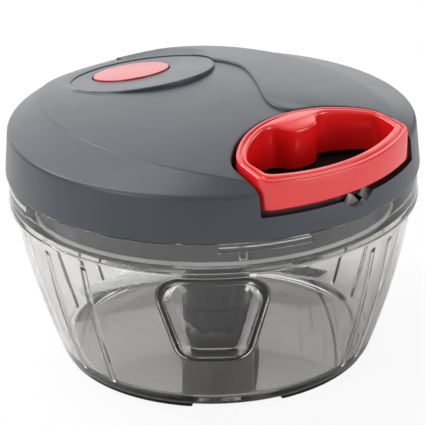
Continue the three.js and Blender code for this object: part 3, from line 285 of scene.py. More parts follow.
def shade(piece, finish, angle):
    """Gives a piece its finish, and smooth shading up to an angle in degrees."""
    piece.data.materials.clear()
    piece.data.materials.append(finish)
    piece.data.shade_smooth()
    piece.data.set_sharp_from_angle(angle=math.radians(angle))


def settle(piece, finish, body, node, angle=SHARP_DEG):
    """Shades a piece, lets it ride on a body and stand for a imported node."""
    shade(piece, finish, angle)
    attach(piece, body)
    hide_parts(node)
    print(piece.name, len(piece.data.polygons), "faces")
    return piece


print("edges stay sharp above", SHARP_DEG, "degrees")

# %% [markdown]
# ## Moulded plastic
# Lid, handle and reel are injection moulded. Such a surface is never quite even: the mould has a
# fine grain, and use rubs some patches smoother. An image could show that, but noise made by nodes
# holds at any distance.


# %% Nodes of a finish
PER_METRE = 1000  # millimetres
NOISE_LOW, NOISE_HIGH = 0.3, 0.7  # most of a noise lies between them
SHADE_LOW, SHADE_HIGH = 0.35, 0.65


def blank(name):
    finish = bpy.data.materials.new(name)
    finish.use_nodes = True
    tree = finish.node_tree
    return finish, tree, tree.nodes["Principled BSDF"]


def noise(tree, size_mm, detail, stretch=None):
    """Noise in the object's own space, its features as large as size_mm."""
    place = tree.nodes.new("ShaderNodeTexCoord")
    field = tree.nodes.new("ShaderNodeTexNoise")
    field.inputs["Scale"].default_value = PER_METRE / size_mm
    field.inputs["Detail"].default_value = detail
    source = place.outputs["Object"]
    if stretch:
        mapping = tree.nodes.new("ShaderNodeMapping")
        mapping.inputs["Scale"].default_value = stretch
        tree.links.new(source, mapping.inputs["Vector"])
        source = mapping.outputs["Vector"]
    tree.links.new(source, field.inputs["Vector"])
    return field.outputs["Fac"]


def spread(tree, source, low, high, start=NOISE_LOW, end=NOISE_HIGH):
    """Maps a value that runs from start to end to the range low to high."""
    node = tree.nodes.new("ShaderNodeMapRange")
    node.inputs["From Min"].default_value = start
    node.inputs["From Max"].default_value = end
    node.inputs["To Min"].default_value = low
    node.inputs["To Max"].default_value = high
    tree.links.new(source, node.inputs["Value"])
    return node.outputs["Result"]


def bump(tree, shader, source, height_mm):
    node = tree.nodes.new("ShaderNodeBump")
    node.inputs["Distance"].default_value = height_mm * MM
    tree.links.new(source, node.inputs["Height"])
    tree.links.new(node.outputs["Normal"], shader.inputs["Normal"])


def tint(tree, shader, source, dark, light):
    """Runs the colour between two shades along a noise."""
    ramp = tree.nodes.new("ShaderNodeValToRGB")
    ramp.color_ramp.elements[0].position = SHADE_LOW
    ramp.color_ramp.elements[1].position = SHADE_HIGH
    ramp.color_ramp.elements[0].color = (*dark, 1)
    ramp.color_ramp.elements[1].color = (*light, 1)
    tree.links.new(source, ramp.inputs["Fac"])
    tree.links.new(ramp.outputs["Color"], shader.inputs["Base Color"])


print("a noise of 1 mm has a scale of", PER_METRE)


# %% Plastics of lid, handle and reel
TINT_MM, WEAR_MM = 14, 9


def moulded(name, dark, light, rough, grain_mm, grain_high, wear=0.05, gloss=0.5):
    """Moulded plastic; gloss is the strength of its reflection."""
    finish, tree, shader = blank(name)
    tint(tree, shader, noise(tree, TINT_MM, 4), dark, light)
    rubbed = spread(tree, noise(tree, WEAR_MM, 5), rough - wear, rough + wear)
    tree.links.new(rubbed, shader.inputs["Roughness"])
    bump(tree, shader, noise(tree, grain_mm, 2), grain_high)
    shader.inputs["Specular IOR Level"].default_value = gloss
    return finish


lid_grey = moulded(
    "lid_grey", (0.042, 0.048, 0.057), (0.046, 0.052, 0.061), 0.4, 0.45, 0.006, wear=0.015
)
lid_shader = lid_grey.node_tree.nodes["Principled BSDF"]
lid_shader.inputs["Specular Tint"].default_value = (0.9, 0.96, 1, 1)
# painted shade: the recess floor is coloured near-black for the little light that reaches it, and is
# a little rougher
painted_shade_floor = moulded(
    "painted_shade_floor", (0.012, 0.010, 0.010), (0.015, 0.013, 0.013), 0.55, 0.45, 0.01, gloss=0.2
)
rest_grey = moulded("rest_grey", (0.2, 0.17, 0.165), (0.24, 0.21, 0.2), 0.4, 0.5, 0.004)
base_grey = moulded("base_grey", (0.07, 0.074, 0.08), (0.08, 0.084, 0.09), 0.42, 0.5, 0.004)
handle_red = moulded(
    "handle_red", (0.68, 0.006, 0.007), (0.72, 0.008, 0.009), 0.22, 0.9, 0.002, 0.02, 0.95
)
button_red = moulded(
    "button_red", (0.42, 0.005, 0.006), (0.45, 0.007, 0.007), 0.3, 3, 0.0015, 0.005, 0.85
)
stem_ink = moulded("stem_ink", (0.004, 0.005, 0.007), (0.006, 0.007, 0.01), 0.4, 0.6, 0.003)
reel_white = moulded("reel_white", (0.70, 0.70, 0.67), (0.78, 0.78, 0.75), 0.45, 0.5, 0.004)
seal_rubber = moulded("seal_rubber", (0.60, 0.61, 0.59), (0.68, 0.69, 0.67), 0.6, 0.3, 0.004)
print("materials so far, with the packed ones:", len(bpy.data.materials))

# %% [markdown]
# ## Metal and cord
# Blades and axle are ground, which leaves scratches along one way. An even noise would look cast,
# so a stretched one moves colour, roughness and bump together. The cord is woven, and a diagonal
# wave will do for its strands.


# %% Ground steel and brass
SCRATCH_MM, SCRATCH_DEEP = 0.6, 0.004


def ground(name, colour, rough, stretch):
    """Ground metal: fine scratches along one direction."""
    finish, tree, shader = blank(name)
    shader.inputs["Metallic"].default_value = 1.0
    dark = [c * 0.9 for c in colour]
    scratches = noise(tree, SCRATCH_MM, 4, stretch)
    tint(tree, shader, scratches, dark, colour)
    uneven = spread(tree, scratches, rough - 0.06, rough + 0.08)
    tree.links.new(uneven, shader.inputs["Roughness"])
    bump(tree, shader, scratches, SCRATCH_DEEP)
    return finish


blade_steel = ground("blade_steel", (0.62, 0.63, 0.65), 0.26, (0.15, 1.0, 1.0))
turned_steel = ground("turned_steel", (0.58, 0.59, 0.6), 0.3, (1.0, 1.0, 0.2))
bush_brass = ground("bush_brass", (0.62, 0.44, 0.18), 0.35, (1.0, 1.0, 0.2))
print("scratches about", SCRATCH_MM, "mm wide on steel and brass")


# %% Woven cord
WEAVE_SCALE, WEAVE_DEEP = 900, 0.15


def braided(name):
    """Cord: a woven surface of short diagonal strands."""
    finish, tree, shader = blank(name)
    place = tree.nodes.new("ShaderNodeTexCoord")
    weave = tree.nodes.new("ShaderNodeTexWave")
    weave.bands_direction = "DIAGONAL"
    weave.inputs["Scale"].default_value = WEAVE_SCALE
    weave.inputs["Distortion"].default_value = 2.0
    tree.links.new(place.outputs["Object"], weave.inputs["Vector"])
    tint(tree, shader, weave.outputs["Fac"], (0.55, 0.53, 0.48), (0.8, 0.78, 0.72))
    shader.inputs["Roughness"].default_value = 0.85
    bump(tree, shader, weave.outputs["Fac"], WEAVE_DEEP)
    return finish


pull_cord = braided("pull_cord")
print(pull_cord.name, "with strands", WEAVE_DEEP, "mm high")

# %% [markdown]
# ## Smoke-tinted bowl
# The bowl is clear plastic with a little smoke in it. A grey glass colour would darken thin and
# thick walls alike. Absorption grows with depth, so the bottom and the rims, where light goes the
# long way through the wall, get as dark as on the real bowl.


# %% Clear plastic
def smoky(name):
    """Smoke-tinted clear plastic: the tint sits in the depth of the wall."""
    finish, tree, shader = blank(name)
    shader.inputs["Base Color"].default_value = (0.9, 0.895, 0.885, 1)
    shader.inputs["Transmission Weight"].default_value = 1.0
    shader.inputs["IOR"].default_value = 1.49
    tree.links.new(spread(tree, noise(tree, 11, 4), 0.0, 0.03), shader.inputs["Roughness"])
    bump(tree, shader, noise(tree, 25, 2), 0.03)
    depth = tree.nodes.new("ShaderNodeVolumeAbsorption")
    depth.inputs["Color"].default_value = (0.47, 0.45, 0.42, 1)
    depth.inputs["Density"].default_value = 70
    tree.links.new(depth.outputs["Volume"], tree.nodes["Material Output"].inputs["Volume"])
    return finish


bowl_smoke = smoky("bowl_smoke")
print("materials with metal, cord and bowl:", len(bpy.data.materials))

# %% [markdown]
# ## The dome of the lid
# The top is a low dome. Its raised middle is egg-shaped, wide at the handle and close to the rim
# at the back, and a band slopes from its edge to the round shoulder. A subdivided cage would blur
# that edge, so formulas give its radius at an angle (egg_r), its height (egg_z) and the height
# over any point (dome_z).

# %% Height of the dome
SHOULDER_EDGE, COVER_WALL = 0.6, 2.1
EGG_HALF_W, EGG_BACK, EGG_FRONT = SHOULDER_R - 15.9, SHOULDER_R - 1, SHOULDER_R + 3.5
BAND_LEAST, BAND_RISE, BAND_REACH = 1.2, 5.4, 5.5


def egg_r(a):
    reach = EGG_BACK if math.sin(a) > 0 else EGG_FRONT
    r = 1 / math.hypot(math.cos(a) / EGG_HALF_W, math.sin(a) / reach)
    return min(r, SHOULDER_R - BAND_LEAST)


def egg_z(a):
    band = SHOULDER_R - egg_r(a)
    return SHOULDER_Z + BAND_RISE * (1 - math.exp(-band / BAND_REACH))


def dome_z(x, y):
    """Height of the lid's top over a point."""
    a, r = math.atan2(y, x), math.hypot(x, y)
    edge, high = egg_r(a), egg_z(a)
    if r <= edge:
        return high + (CROWN_Z - high) * (1 - (r / edge) ** 2)
    t = min(1, (r - edge) / (SHOULDER_R - SHOULDER_EDGE - edge))
    return high + (SHOULDER_Z + SHOULDER_EDGE / 2 - high) * t


print("crease at the side", round(egg_r(0), 1), "mm from the axis and", round(egg_z(0), 1), "mm high")

# %% [markdown]
# ## Wall of the lid
# The cover is a thin shell. Solidify could thicken a surface, but skirt, shoulder and dome need
# corners of their own, so every angle gets one closed profile. A small lip at the crease catches
# the light as a thin line round the raised middle.

# %% Shell
CREASE_OUT, CREASE_DROP = 0.3, 0.4
CORNER_REACH, CORNER_STEPS = 0.8, 5
UNDER_SHARE, UNDER_EVERY = 0.985, 4


def lid_ring(a, shares):
    """Closed radial profile of the lid's shell at one angle, from the crown round to the crown."""
    edge, high = egg_r(a), egg_z(a)
    top = [(edge * s, high + (CROWN_Z - high) * (1 - s * s)) for s in shares]
    side = [
        top[-2],
        top[-1],
        (edge + CREASE_OUT, high - CREASE_DROP),
        (SHOULDER_R - SHOULDER_EDGE, SHOULDER_Z + SHOULDER_EDGE / 2),
        (SHOULDER_R, SHOULDER_Z - SHOULDER_EDGE),
        (SKIRT_R, SKIRT_LOW_Z),
        (SKIRT_R - COVER_WALL, SKIRT_LOW_Z),
        (SHOULDER_R - COVER_WALL, SHOULDER_Z - SHOULDER_EDGE - COVER_WALL),
        (SHOULDER_R - SHOULDER_EDGE - COVER_WALL, SHOULDER_Z - COVER_WALL),
    ]
    side = [(p[0], p[1]) for p in soften(side, CORNER_REACH, CORNER_STEPS)]
    return top[:-2] + side + [(r * UNDER_SHARE, z - COVER_WALL) for r, z in top[::-UNDER_EVERY]]


def lid_shell(steps=360, rows=48):
    shares = [i / rows for i in range(1, rows + 1)]
    rings = []
    for i in range(steps):
        a = 2 * math.pi * i / steps
        rings.append([(r * math.cos(a), r * math.sin(a), z) for r, z in lid_ring(a, shares)])
    n = len(rings[0])
    points = [p for ring in rings for p in ring] + [(0, 0, CROWN_Z), (0, 0, CROWN_Z - COVER_WALL)]
    top, under = len(points) - 2, len(points) - 1
    faces = []
    for i in range(steps):
        j = (i + 1) % steps
        faces.append((top, i * n, j * n))
        faces.append((under, j * n + n - 1, i * n + n - 1))
        for k in range(n - 1):
            faces.append((i * n + k, i * n + k + 1, j * n + k + 1, j * n + k))
    return outward(make("lid_cover_form", points, faces))


shell = lid_shell()
print("shell of", len(shell.data.polygons), "faces")


# %% Filler under the dome
def under_dome(name, rows, inset, lift, low, count=240):
    """A solid under the raised middle: its top follows the dome, its floor is flat."""
    rings = []
    for share in [row / rows for row in range(1, rows + 1)]:
        loop = []
        for i in range(count):
            a = 2 * math.pi * i / count
            r = (egg_r(a) - inset) * share
            x, y = r * math.cos(a), r * math.sin(a)
            loop.append((x, y, dome_z(x, y) + lift))
        rings.append(loop)
    rings.append([(x, y, low) for x, y, z in rings[-1]])
    return stack(name, rings)


print("middle of the wall at", round(dome_z(0, 0) - COVER_WALL / 2, 1), "mm on the axis")

# %% [markdown]
# ## Leaf panel
# On the right a leaf-shaped field with an S-shaped edge stands a little above the dome. It could
# be cut from a thicker dome, but its lip would stay sharp. So walls are stacked on the drawn edge,
# a rounded lip ends them, and a copy of the dome that lies higher trims them.

# %% Outline of the leaf
PANEL_RISE, PANEL_INSET = 0.9, 1.6
LEAF_EDGE = [(17, 30), (20.6, 24), (22.4, 17), (22.1, 10.5), (19.2, 3.4), (13.4, -6.6), (8.6, -14)]
LEAF_EDGE += [(5.9, -19), (5, -23.6), (6.2, -27.4), (9.2, -30), (14, -32.5)]
KNOT_STEPS, FAR_STEPS = 12, 60
LEAF_TAIL = 12  # how far the edge runs on under the handle
LEAF_FIRST, LEAF_LAST = 0.02, math.radians(80)  # angles past the tail and at the back


def leaf_loop(inset):
    """Outline of the raised leaf between the S-shaped edge and the side of the egg."""
    knots = [Vector(k) for k in LEAF_EDGE]
    edge = []
    for i in range(1, len(knots) - 2):
        a, b, c, d = knots[i - 1 : i + 3]
        for k in range(KNOT_STEPS):
            t = k / KNOT_STEPS
            way = b * 2 + (c - a) * t + (a * 2 - b * 5 + c * 4 - d) * t**2
            edge.append((way + (b * 3 - a - c * 3 + d) * t**3) / 2)
    edge.append(knots[-2])
    end = edge[-1] + (edge[-1] - edge[-2]).normalized() * LEAF_TAIL
    edge.append(end)
    far = []
    first = math.atan2(end.y, end.x) + LEAF_FIRST
    for i in range(FAR_STEPS + 1):
        a = first + (LEAF_LAST - first) * i / FAR_STEPS
        r = egg_r(a) - PANEL_INSET - inset
        far.append((r * math.cos(a), r * math.sin(a)))
    near = []
    for i, q in enumerate(edge):
        d = (edge[min(i + 1, len(edge) - 1)] - edge[max(i - 1, 0)]).normalized()
        near.append((q.x - d.y * inset, q.y + d.x * inset))
    return near + far


print("leaf outline of", len(leaf_loop(0)), "points")

# %% Solid leaf
LEAF_LIP = [(0, -0.8), (0.07, -0.52), (0.2, -0.3), (0.42, -0.12), (0.68, -0.03), (0.95, 0)]
LEAF_SINK, LEAF_OVER, LEAF_FLOOR = 1.5, 4, 3


def leaf_solid():
    over = lambda lift: lambda x, y: dome_z(x, y) + lift
    rings = [rise(leaf_loop(0), over(-LEAF_SINK))]
    rings += [rise(leaf_loop(inset), over(PANEL_RISE + drop)) for inset, drop in LEAF_LIP]
    rings.append(rise(leaf_loop(LEAF_LIP[-1][0]), CROWN_Z + LEAF_OVER))
    walls = outward(stack("leaf", rings))
    roof = under_dome("roof", 40, 0, PANEL_RISE - 0.01, SHOULDER_Z - LEAF_FLOOR)
    return carve(walls, [roof], "INTERSECT")


leaf = leaf_solid()
print("leaf of", len(leaf.data.polygons), "faces")

# %% [markdown]
# ## Boss and its channel
# The button sits in a round boss that leans towards the back. A rotated cylinder would lean its
# wall too, so only the upper points of a turned block are moved. The channel is a leaning disc
# with a core taken out, and the core rises towards the back, where the dome meets the boss.

# %% Boss
BOSS_Y, BOSS_R, BOSS_FRONT_Z, BOSS_SLOPE_SHARE = 33.2, 23.3, CROWN_Z + 1.4, -0.19
BOSS_STEPS, BOSS_ROUND = 180, 0.6
CHANNEL_X, CHANNEL_Y, CHANNEL_R = -1.2, BOSS_Y + 0.7, BOSS_R + 1.7


def lean(x, y, z):
    return BOSS_SLOPE_SHARE * (y - (BOSS_Y - BOSS_R))


def boss_tilt(x, y, z):
    """Leans what lies above the shoulder and leaves what lies below."""
    return lean(x, y, z) if z > SHOULDER_Z + 2 else 0


def boss_block():
    block = [(0, SHOULDER_Z), (BOSS_R, SHOULDER_Z), (BOSS_R, BOSS_FRONT_Z), (0, BOSS_FRONT_Z)]
    return turned("boss", soften(block, BOSS_ROUND, 5), BOSS_STEPS, (0, BOSS_Y), boss_tilt)


boss = boss_block()
leaning = round(math.degrees(math.atan(-BOSS_SLOPE_SHARE)))
print("boss", 2 * BOSS_R, "mm across, leaning by", leaning, "degrees")

# %% Cutters round the boss
FADE_RISE, FADE_START, FADE_SHARE = 2.6, 3, 0.6


def fade(x, y, z):
    """Leans the core of the channel, and lifts it towards the back."""
    out = 1 if math.hypot(x, y - BOSS_Y) > BOSS_R - 0.4 and z < BOSS_FRONT_Z + 1 else 0
    return lean(x, y, z) + FADE_RISE * out * smooth((y - BOSS_Y + FADE_START) / (BOSS_R * FADE_SHARE))


def channel():
    """Cutter for the channel round the boss; its floor falls outwards from the boss."""
    top, at = BOSS_FRONT_Z, (CHANNEL_X, CHANNEL_Y)
    cutter = drum("channel", CHANNEL_R, top - 2, top + 6, BOSS_STEPS, at, lean)
    edge = [(0, top - 4), (BOSS_R + 5, top - 4), (BOSS_R + 5, top - 0.9), (BOSS_R + 2.8, top - 0.9)]
    edge += [(BOSS_R + 0.5, top - 0.75), (BOSS_R, top - 0.3), (BOSS_R, top + 8), (0, top + 8)]
    return carve(cutter, [turned("core", soften(edge), BOSS_STEPS, (0, BOSS_Y), fade)])


def flattener():
    """Takes off what of the dome stands over the boss, with a shallow slope round it."""
    top = BOSS_FRONT_Z
    flat = [(0, top - 0.01), (BOSS_R + 0.05, top - 0.01), (BOSS_R + 0.1, top + 0.3)]
    flat += [(BOSS_R + 4, top + 0.9), (BOSS_R + 9, top + 2.1), (BOSS_R + 14, top + 4)]
    flat += [(BOSS_R + 14, top + 9), (0, top + 9)]
    return turned("flat", flat, BOSS_STEPS, (0, BOSS_Y), boss_tilt)


print("channel", round(CHANNEL_R - BOSS_R, 1), "mm wide on average")

# %% [markdown]
# ## Pocket, well and backing
# Under the cover hang the pocket of the handle, the well of the button and the pad of the reel,
# and a slab backs the wall under the channel. They could be modelled as thin walls at once, but
# blocks that are joined first and cut afterwards leave no gap.

# %% Seen from above: the handle's bow
PULL_RIM = 4
PULL_APEX, PULL_END_X, PULL_END, PULL_TIP_X = 29.5, 29, 43.5, 30.4
BOW_R = (PULL_END_X**2 + (PULL_END - PULL_APEX) ** 2) / (2 * (PULL_END - PULL_APEX))
BOW_Y = -(PULL_APEX + BOW_R)
BOW_START = math.atan2(-PULL_END - BOW_Y, PULL_END_X)


def pull_outline(grow, out_r, steps=60):
    """The handle seen from above: a bow towards the axis, closed by an arc along the rim."""
    tip = math.acos((PULL_TIP_X + grow) / out_r)
    bow = arc(0, BOW_Y, BOW_R + grow, BOW_START, math.pi - BOW_START, steps)
    return bow + arc(0, 0, out_r, math.pi + tip, 2 * math.pi - tip, steps)


print("bow of the handle with a radius of", round(BOW_R, 1), "mm")

# %% Blocks under the cover
RECESS_FLOOR_Z, RECESS_GAP, RECESS_WALL, RECESS_FLOOR = CROWN_Z - 16.4, 1.4, 1.8, 2
VENT_Y, WELL_FLOOR_Z, WELL_OUT_R, WELL_FLOOR = 39, BOSS_FRONT_Z - 14.2, 14.4, 1.8
HANGER_R, HANGER_LOW_Z = 7.5, CROWN_Z - 4.5
BACKING_OVER, BACKING_DEEP, SINK = 1.5, 3.2, 1


def blocks():
    inside = lambda x, y: dome_z(x, y) - COVER_WALL / 2
    block = pull_outline(RECESS_GAP + RECESS_WALL, SHOULDER_R - COVER_WALL / 2)
    pocket = stack("pocket", [rise(block, RECESS_FLOOR_Z - RECESS_FLOOR), rise(block, inside)])
    low, high = WELL_FLOOR_Z - WELL_FLOOR, BOSS_FRONT_Z - SINK
    well = drum("well", WELL_OUT_R, low, high, TURN_STEPS, (0, VENT_Y), boss_tilt)
    hanger = drum("hanger", HANGER_R, HANGER_LOW_Z, CROWN_Z - SINK)
    low, at = BOSS_FRONT_Z - BACKING_DEEP, (CHANNEL_X, CHANNEL_Y)
    backing = drum("backing", CHANNEL_R + BACKING_OVER, low, high, 120, at, boss_tilt)
    carve(backing, [under_dome("trim", 30, 0.2, -COVER_WALL / 2, SHOULDER_Z - 12)], "INTERSECT")
    return [pocket, well, hanger, backing]


hanging = blocks()
print("under the cover:", [block.name for block in hanging])

# %% [markdown]
# ## Recess, notch and bore
# The recess takes the handle with a gap all round, the notch lets a fingertip under it and the
# bore takes the button. Cutters with straight walls leave knife edges, so each flares where it
# meets the surface, which leaves the small round that a mould gives.

# %% Cutters of the cover
FLARE = [(0.0, 0.7), (0.03, 0.4), (0.13, 0.17), (0.3, 0.04), (0.55, -0.05)]  # outwards, down
OVER = CROWN_Z + 6
BORE_R, BORE_SHARE = 12.7, 0.5
NOTCH_HALF, NOTCH_LOW, NOTCH_DEEP, NOTCH_REACH = 6, 2.5, 2.9, 5.7
PANEL_FROM_X = 7.6  # the leaf meets the recess to the right of this


def top_z(x, y):
    """The lid's top with the leaf panel, for the lip of the recess."""
    on_leaf = x > PANEL_FROM_X and math.hypot(x, y) < egg_r(math.atan2(y, x)) - 2
    return dome_z(x, y) + (PANEL_RISE if on_leaf else 0)


def recess_cutter():
    edge = ease(pull_outline(RECESS_GAP, SKIRT_R + PULL_RIM), 3)
    floor = [(-0.6, 0), (-0.15, 0.15)]
    rings = [rise(shift(edge, grow), RECESS_FLOOR_Z + up) for grow, up in floor]
    rings.append(rise(edge, RECESS_FLOOR_Z + 0.6))
    for grow, drop in FLARE:
        rings.append(rise(shift(edge, grow), lambda x, y: top_z(x, y) - drop))
    rings.append(rise(shift(edge, FLARE[-1][0]), OVER))
    return stack("recess", rings)


def notch_cutter():
    """The fingertip notch in the lip under the handle."""
    half, low, deep = NOTCH_HALF, NOTCH_LOW, NOTCH_DEEP
    outline = [(-half - 0.8, 0.6), (-half - 0.5, 0.05), (-half, -0.3)]
    outline += [(-low - 0.3, -deep + 0.3), (-low, -deep)]
    outline += [(low * t, -deep - 0.2 * (1 - t * t)) for t in (-0.5, 0, 0.5)]
    outline += [(-x, z) for x, z in outline[4::-1]]
    rings = []
    for y in (-SKIRT_R - NOTCH_REACH, -SKIRT_R + NOTCH_REACH):
        rings.append([(x, y, RECESS_FLOOR_Z + z) for x, z in outline])
    return stack("notch", rings)


def bore_cutter():
    line = [(0, WELL_FLOOR_Z), (BORE_R, WELL_FLOOR_Z)]
    line += [(BORE_R + grow * BORE_SHARE, BOSS_FRONT_Z - drop * BORE_SHARE) for grow, drop in FLARE]
    line += [(BORE_R + 0.3, OVER), (0, OVER)]
    return turned("bore", line, 120, (0, VENT_Y), boss_tilt)


cutters = [recess_cutter(), notch_cutter(), bore_cutter()]
print("cutters:", [cutter.name for cutter in cutters])

# %% Lid cover
carve(shell, [leaf, boss], "UNION")
carve(shell, hanging, "UNION")
carve(shell, [channel(), flattener()])
carve(shell, cutters)
cover = settle(shell, lid_grey, "lid", "lid_cover")

# %% [markdown]
# ## Floor of the recess
# The floor under the handle looks nearly black: it is rough, and little light gets in, so that shade
# is painted into its colour as a near-black grey. A piece of its own would need a gap. Faces of one
# mesh can carry a second material, so only the finish changes.

# %% Floor with painted shade
# the flat faces of the recess floor take the painted shade
cover.data.materials.append(painted_shade_floor)
for face in cover.data.polygons:
    at = face.center / MM
    if face.normal.z > 0.9 and abs(at.z - RECESS_FLOOR_Z) < 0.2 and at.y < -20:
        face.material_index = 1
print(sum(face.material_index for face in cover.data.polygons), "faces of the recess floor")

# %% [markdown]
# ## Pull handle
# The handle is a bow of red plastic with a hole for two fingers, and its bulge hides the knot of
# the cord. A curve with a bevel could make a bow, but not its changing width. So outline and hole
# are closed lines, repeated at several heights and moved in where the edge is round, and flat
# faces join them.

# %% Finger hole
BULGE_X, BULGE_HALF_W, BULGE_WAIST, BULGE_REACH = 2.5, 11, 6.5, PULL_APEX + 10.7
PULL_OUT_R, BOW_RIM, PULL_CORNER = SKIRT_R - 1.3, 3.2, 3.5


def finger_hole(steps=48):
    """The hole: the bow, drawn in twice for the bulge, and an arc along the rim."""
    r, out_r = BOW_R - BOW_RIM, PULL_OUT_R - PULL_RIM
    tip = math.acos((PULL_TIP_X - PULL_RIM) / out_r)
    wide, slim = BULGE_WAIST - PULL_RIM / 2, BULGE_WAIST + PULL_RIM / 2
    roots, bells = [], []
    for side in (1, -1):
        root = math.acos((BULGE_X + side * BULGE_HALF_W) / r)
        root_y, bell = BOW_Y + r * math.sin(root), []
        for i in range(steps + 1):
            t = i / steps
            first, last = (1 - t) ** 3 + 3 * t * (1 - t) ** 2, 3 * t * t * (1 - t) + t**3
            x = BULGE_HALF_W * (1 - t) ** 3 + (wide * (1 - t) + slim * t) * 3 * t * (1 - t)
            bell.append((BULGE_X + side * x, root_y * first - BULGE_REACH * last))
        roots.append(root)
        bells.append(bell)
    return (
        arc(0, BOW_Y, r, BOW_START, roots[0], 20)[:-1]
        + bells[0][:-1]
        + bells[1][::-1]
        + arc(0, BOW_Y, r, roots[1], math.pi - BOW_START, 20)[1:]
        + arc(0, 0, out_r, math.pi + tip, 2 * math.pi - tip, 60)
    )


print("finger hole of", len(finger_hole()), "points")

# %% Handle
PULL_Z, PULL_TOP_Z, PULL_SLOPE_SHARE = RECESS_FLOOR_Z + 1.5, CROWN_Z - 0.3, 0.185
CORD_Z, KNOT_Y = CROWN_Z - 8.3, -PULL_APEX - 6
ROOM, THROAT_R, THROAT_AT_Y = 2.8, 1.2, -29
FOOT = [(0.7, 0), (0.2, 0.2), (0, 0.7)]  # inset, height over the foot
RIM = [(0, 0.9), (0.06, 0.6), (0.24, 0.38), (0.5, 0.3), (0.85, 0.3), (1, 0.38), (1.15, 0.75)]
RIM += [(1.4, 0.85), (1.7, 0.75), (1.85, 0.2), (1.95, 0.05), (2.15, 0)]  # inset, depth under the top
LIP = [(0.8, 0), (0.5, 0.06), (0.2, 0.26), (0.05, 0.5), (0, 0.8)]


def skin(points, faces, loop, line, way):
    """Adds an outline at each inset and height of a line; gives back where its rings start."""
    n, starts = len(loop), []
    for inset, z in line:
        base = len(points)
        points.extend((q.x, q.y, z) for q in shift(loop, way * inset))
        if starts:
            for i in range(n):
                k = (i + 1) % n
                faces.append((base - n + i, base - n + k, base + k, base + i))
        starts.append(base)
    return starts


def pull_handle():
    outer = ease(pull_outline(0, PULL_OUT_R), PULL_CORNER)
    hole = ease(finger_hole(), 1.6)
    low, top = PULL_Z, PULL_TOP_Z
    foot = [(inset, low + up) for inset, up in FOOT]
    points, faces = [], []
    wall = skin(points, faces, outer, foot + [(inset, top - down) for inset, down in RIM], -1)
    inner = skin(points, faces, hole, [(inset, top - down) for inset, down in LIP] + foot[::-1], 1)
    n, m = len(outer), len(hole)
    for a, b in ((wall[-1], inner[0]), (wall[0], inner[-1])):
        index = list(range(a, a + n)) + list(range(b, b + m))
        flat = [[Vector(points[i]) for i in index[:n]], [Vector(points[i]) for i in index[n:]]]
        faces.extend([index[i] for i in tri] for tri in tessellate_polygon(flat))
    sloped = []
    for x, y, z in points:
        share = max(0, (z - low) / (top - low))
        sloped.append((x, y, z + share * PULL_SLOPE_SHARE * (y + PULL_APEX)))
    handle = outward(make("pull_handle_form", sloped, faces))
    room = drum("room", ROOM, low - 1, CORD_Z + ROOM, 32, (0, KNOT_Y))
    throat = drum("throat", THROAT_R, -8, 8, 24)
    place = Matrix.Translation((0, THROAT_AT_Y * MM, CORD_Z * MM))
    throat.data.transform(place @ Matrix.Rotation(math.pi / 2, 4, "X"))
    return carve(handle, [room, throat])


settle(pull_handle(), handle_red, "handle", "pull_handle")

# %% [markdown]
# ## Vent button
# Pressed, the button lets air into the bowl, so that the lid comes off. The cap could be cut out
# of the boss, but it needs a round of its own. It is turned, and it leans only in its upper
# points, so that it slides straight down.

# %% Button cap
BUTTON_R, CAP_IN_R, CAP_ROOF = 12.3, 10.3, 2.2
BUTTON_LOW_Z = WELL_FLOOR_Z + 3 + RUN
BUTTON_TOP_Z = BOSS_FRONT_Z + 0.6
CAP_FLAT_R = 8  # the round of the edge runs out towards this


def cap_tilt(x, y, z):
    return boss_tilt(x, y, z) if z > BUTTON_TOP_Z - 2 else 0


cap_line = [(0, BUTTON_LOW_Z + CAP_ROOF), (CAP_IN_R, BUTTON_LOW_Z + CAP_ROOF)]
cap_line += [(CAP_IN_R, BUTTON_LOW_Z), (BUTTON_R, BUTTON_LOW_Z), (BUTTON_R, BUTTON_TOP_Z - 0.15)]
cap_line = soften(cap_line + [(CAP_FLAT_R, BUTTON_TOP_Z - 0.05)], 0.4, 5)
cap_line[-1] = Vector((0, BUTTON_TOP_Z))
vent_button = outward(turned("vent_button_form", cap_line, 120, (0, VENT_Y), cap_tilt))
settle(vent_button, button_red, "vent", "vent_button")

# %% [markdown]
# ## Side of the bowl
# The side bows out from the foot to the collar. Two grips are pressed in, and thin ribs stand
# inside. Booleans would leave hard edges, and in clear plastic every edge shines. So the wall is
# one grid round the axis, and its points are pushed in by how deep they lie in a grip or a rib.

# %% Line of the side
BASE_R, STEP_R = 49.4, COLLAR_R - 1.3
BULGE_SHARE, WALL = 0.45, 2.2


def side_r(z):
    t = min(1, max(0, z / STEP_Z))
    return BASE_R + (STEP_R - BASE_R) * ((1 + BULGE_SHARE) * t - BULGE_SHARE * t * t)


print("bowl from", round(2 * side_r(0)), "to", round(2 * side_r(STEP_Z)), "mm across")

# %% Grips and ribs
BOWL_TURN = -42.2  # degrees that the bowl is turned by under the closed lid
GRIP_CORNER, GRIP_DEPTH, GRIP_LOW_Z, GRIP_TOP_Z = 5, 3.4, 20.9, 47.1
GRIP_HALF_LOW, GRIP_HALF_TOP, GRIP_SOFT = 10, 14.4, 2.0
RIB_DEGS = [-39, -54.5, -69, 52, 61, 74]
RIB_HIGH, RIB_HALF, RIB_SOFT, RIB_TOP_Z, RIB_FADE = 0.95, 1.05, 0.55, 47.5, 1.2
GRIP_AT = [math.radians(BOWL_TURN - 90), math.radians(BOWL_TURN + 90)]
RIB_AT = [math.radians(d + BOWL_TURN + side) for side in (-90, 90) for d in RIB_DEGS]


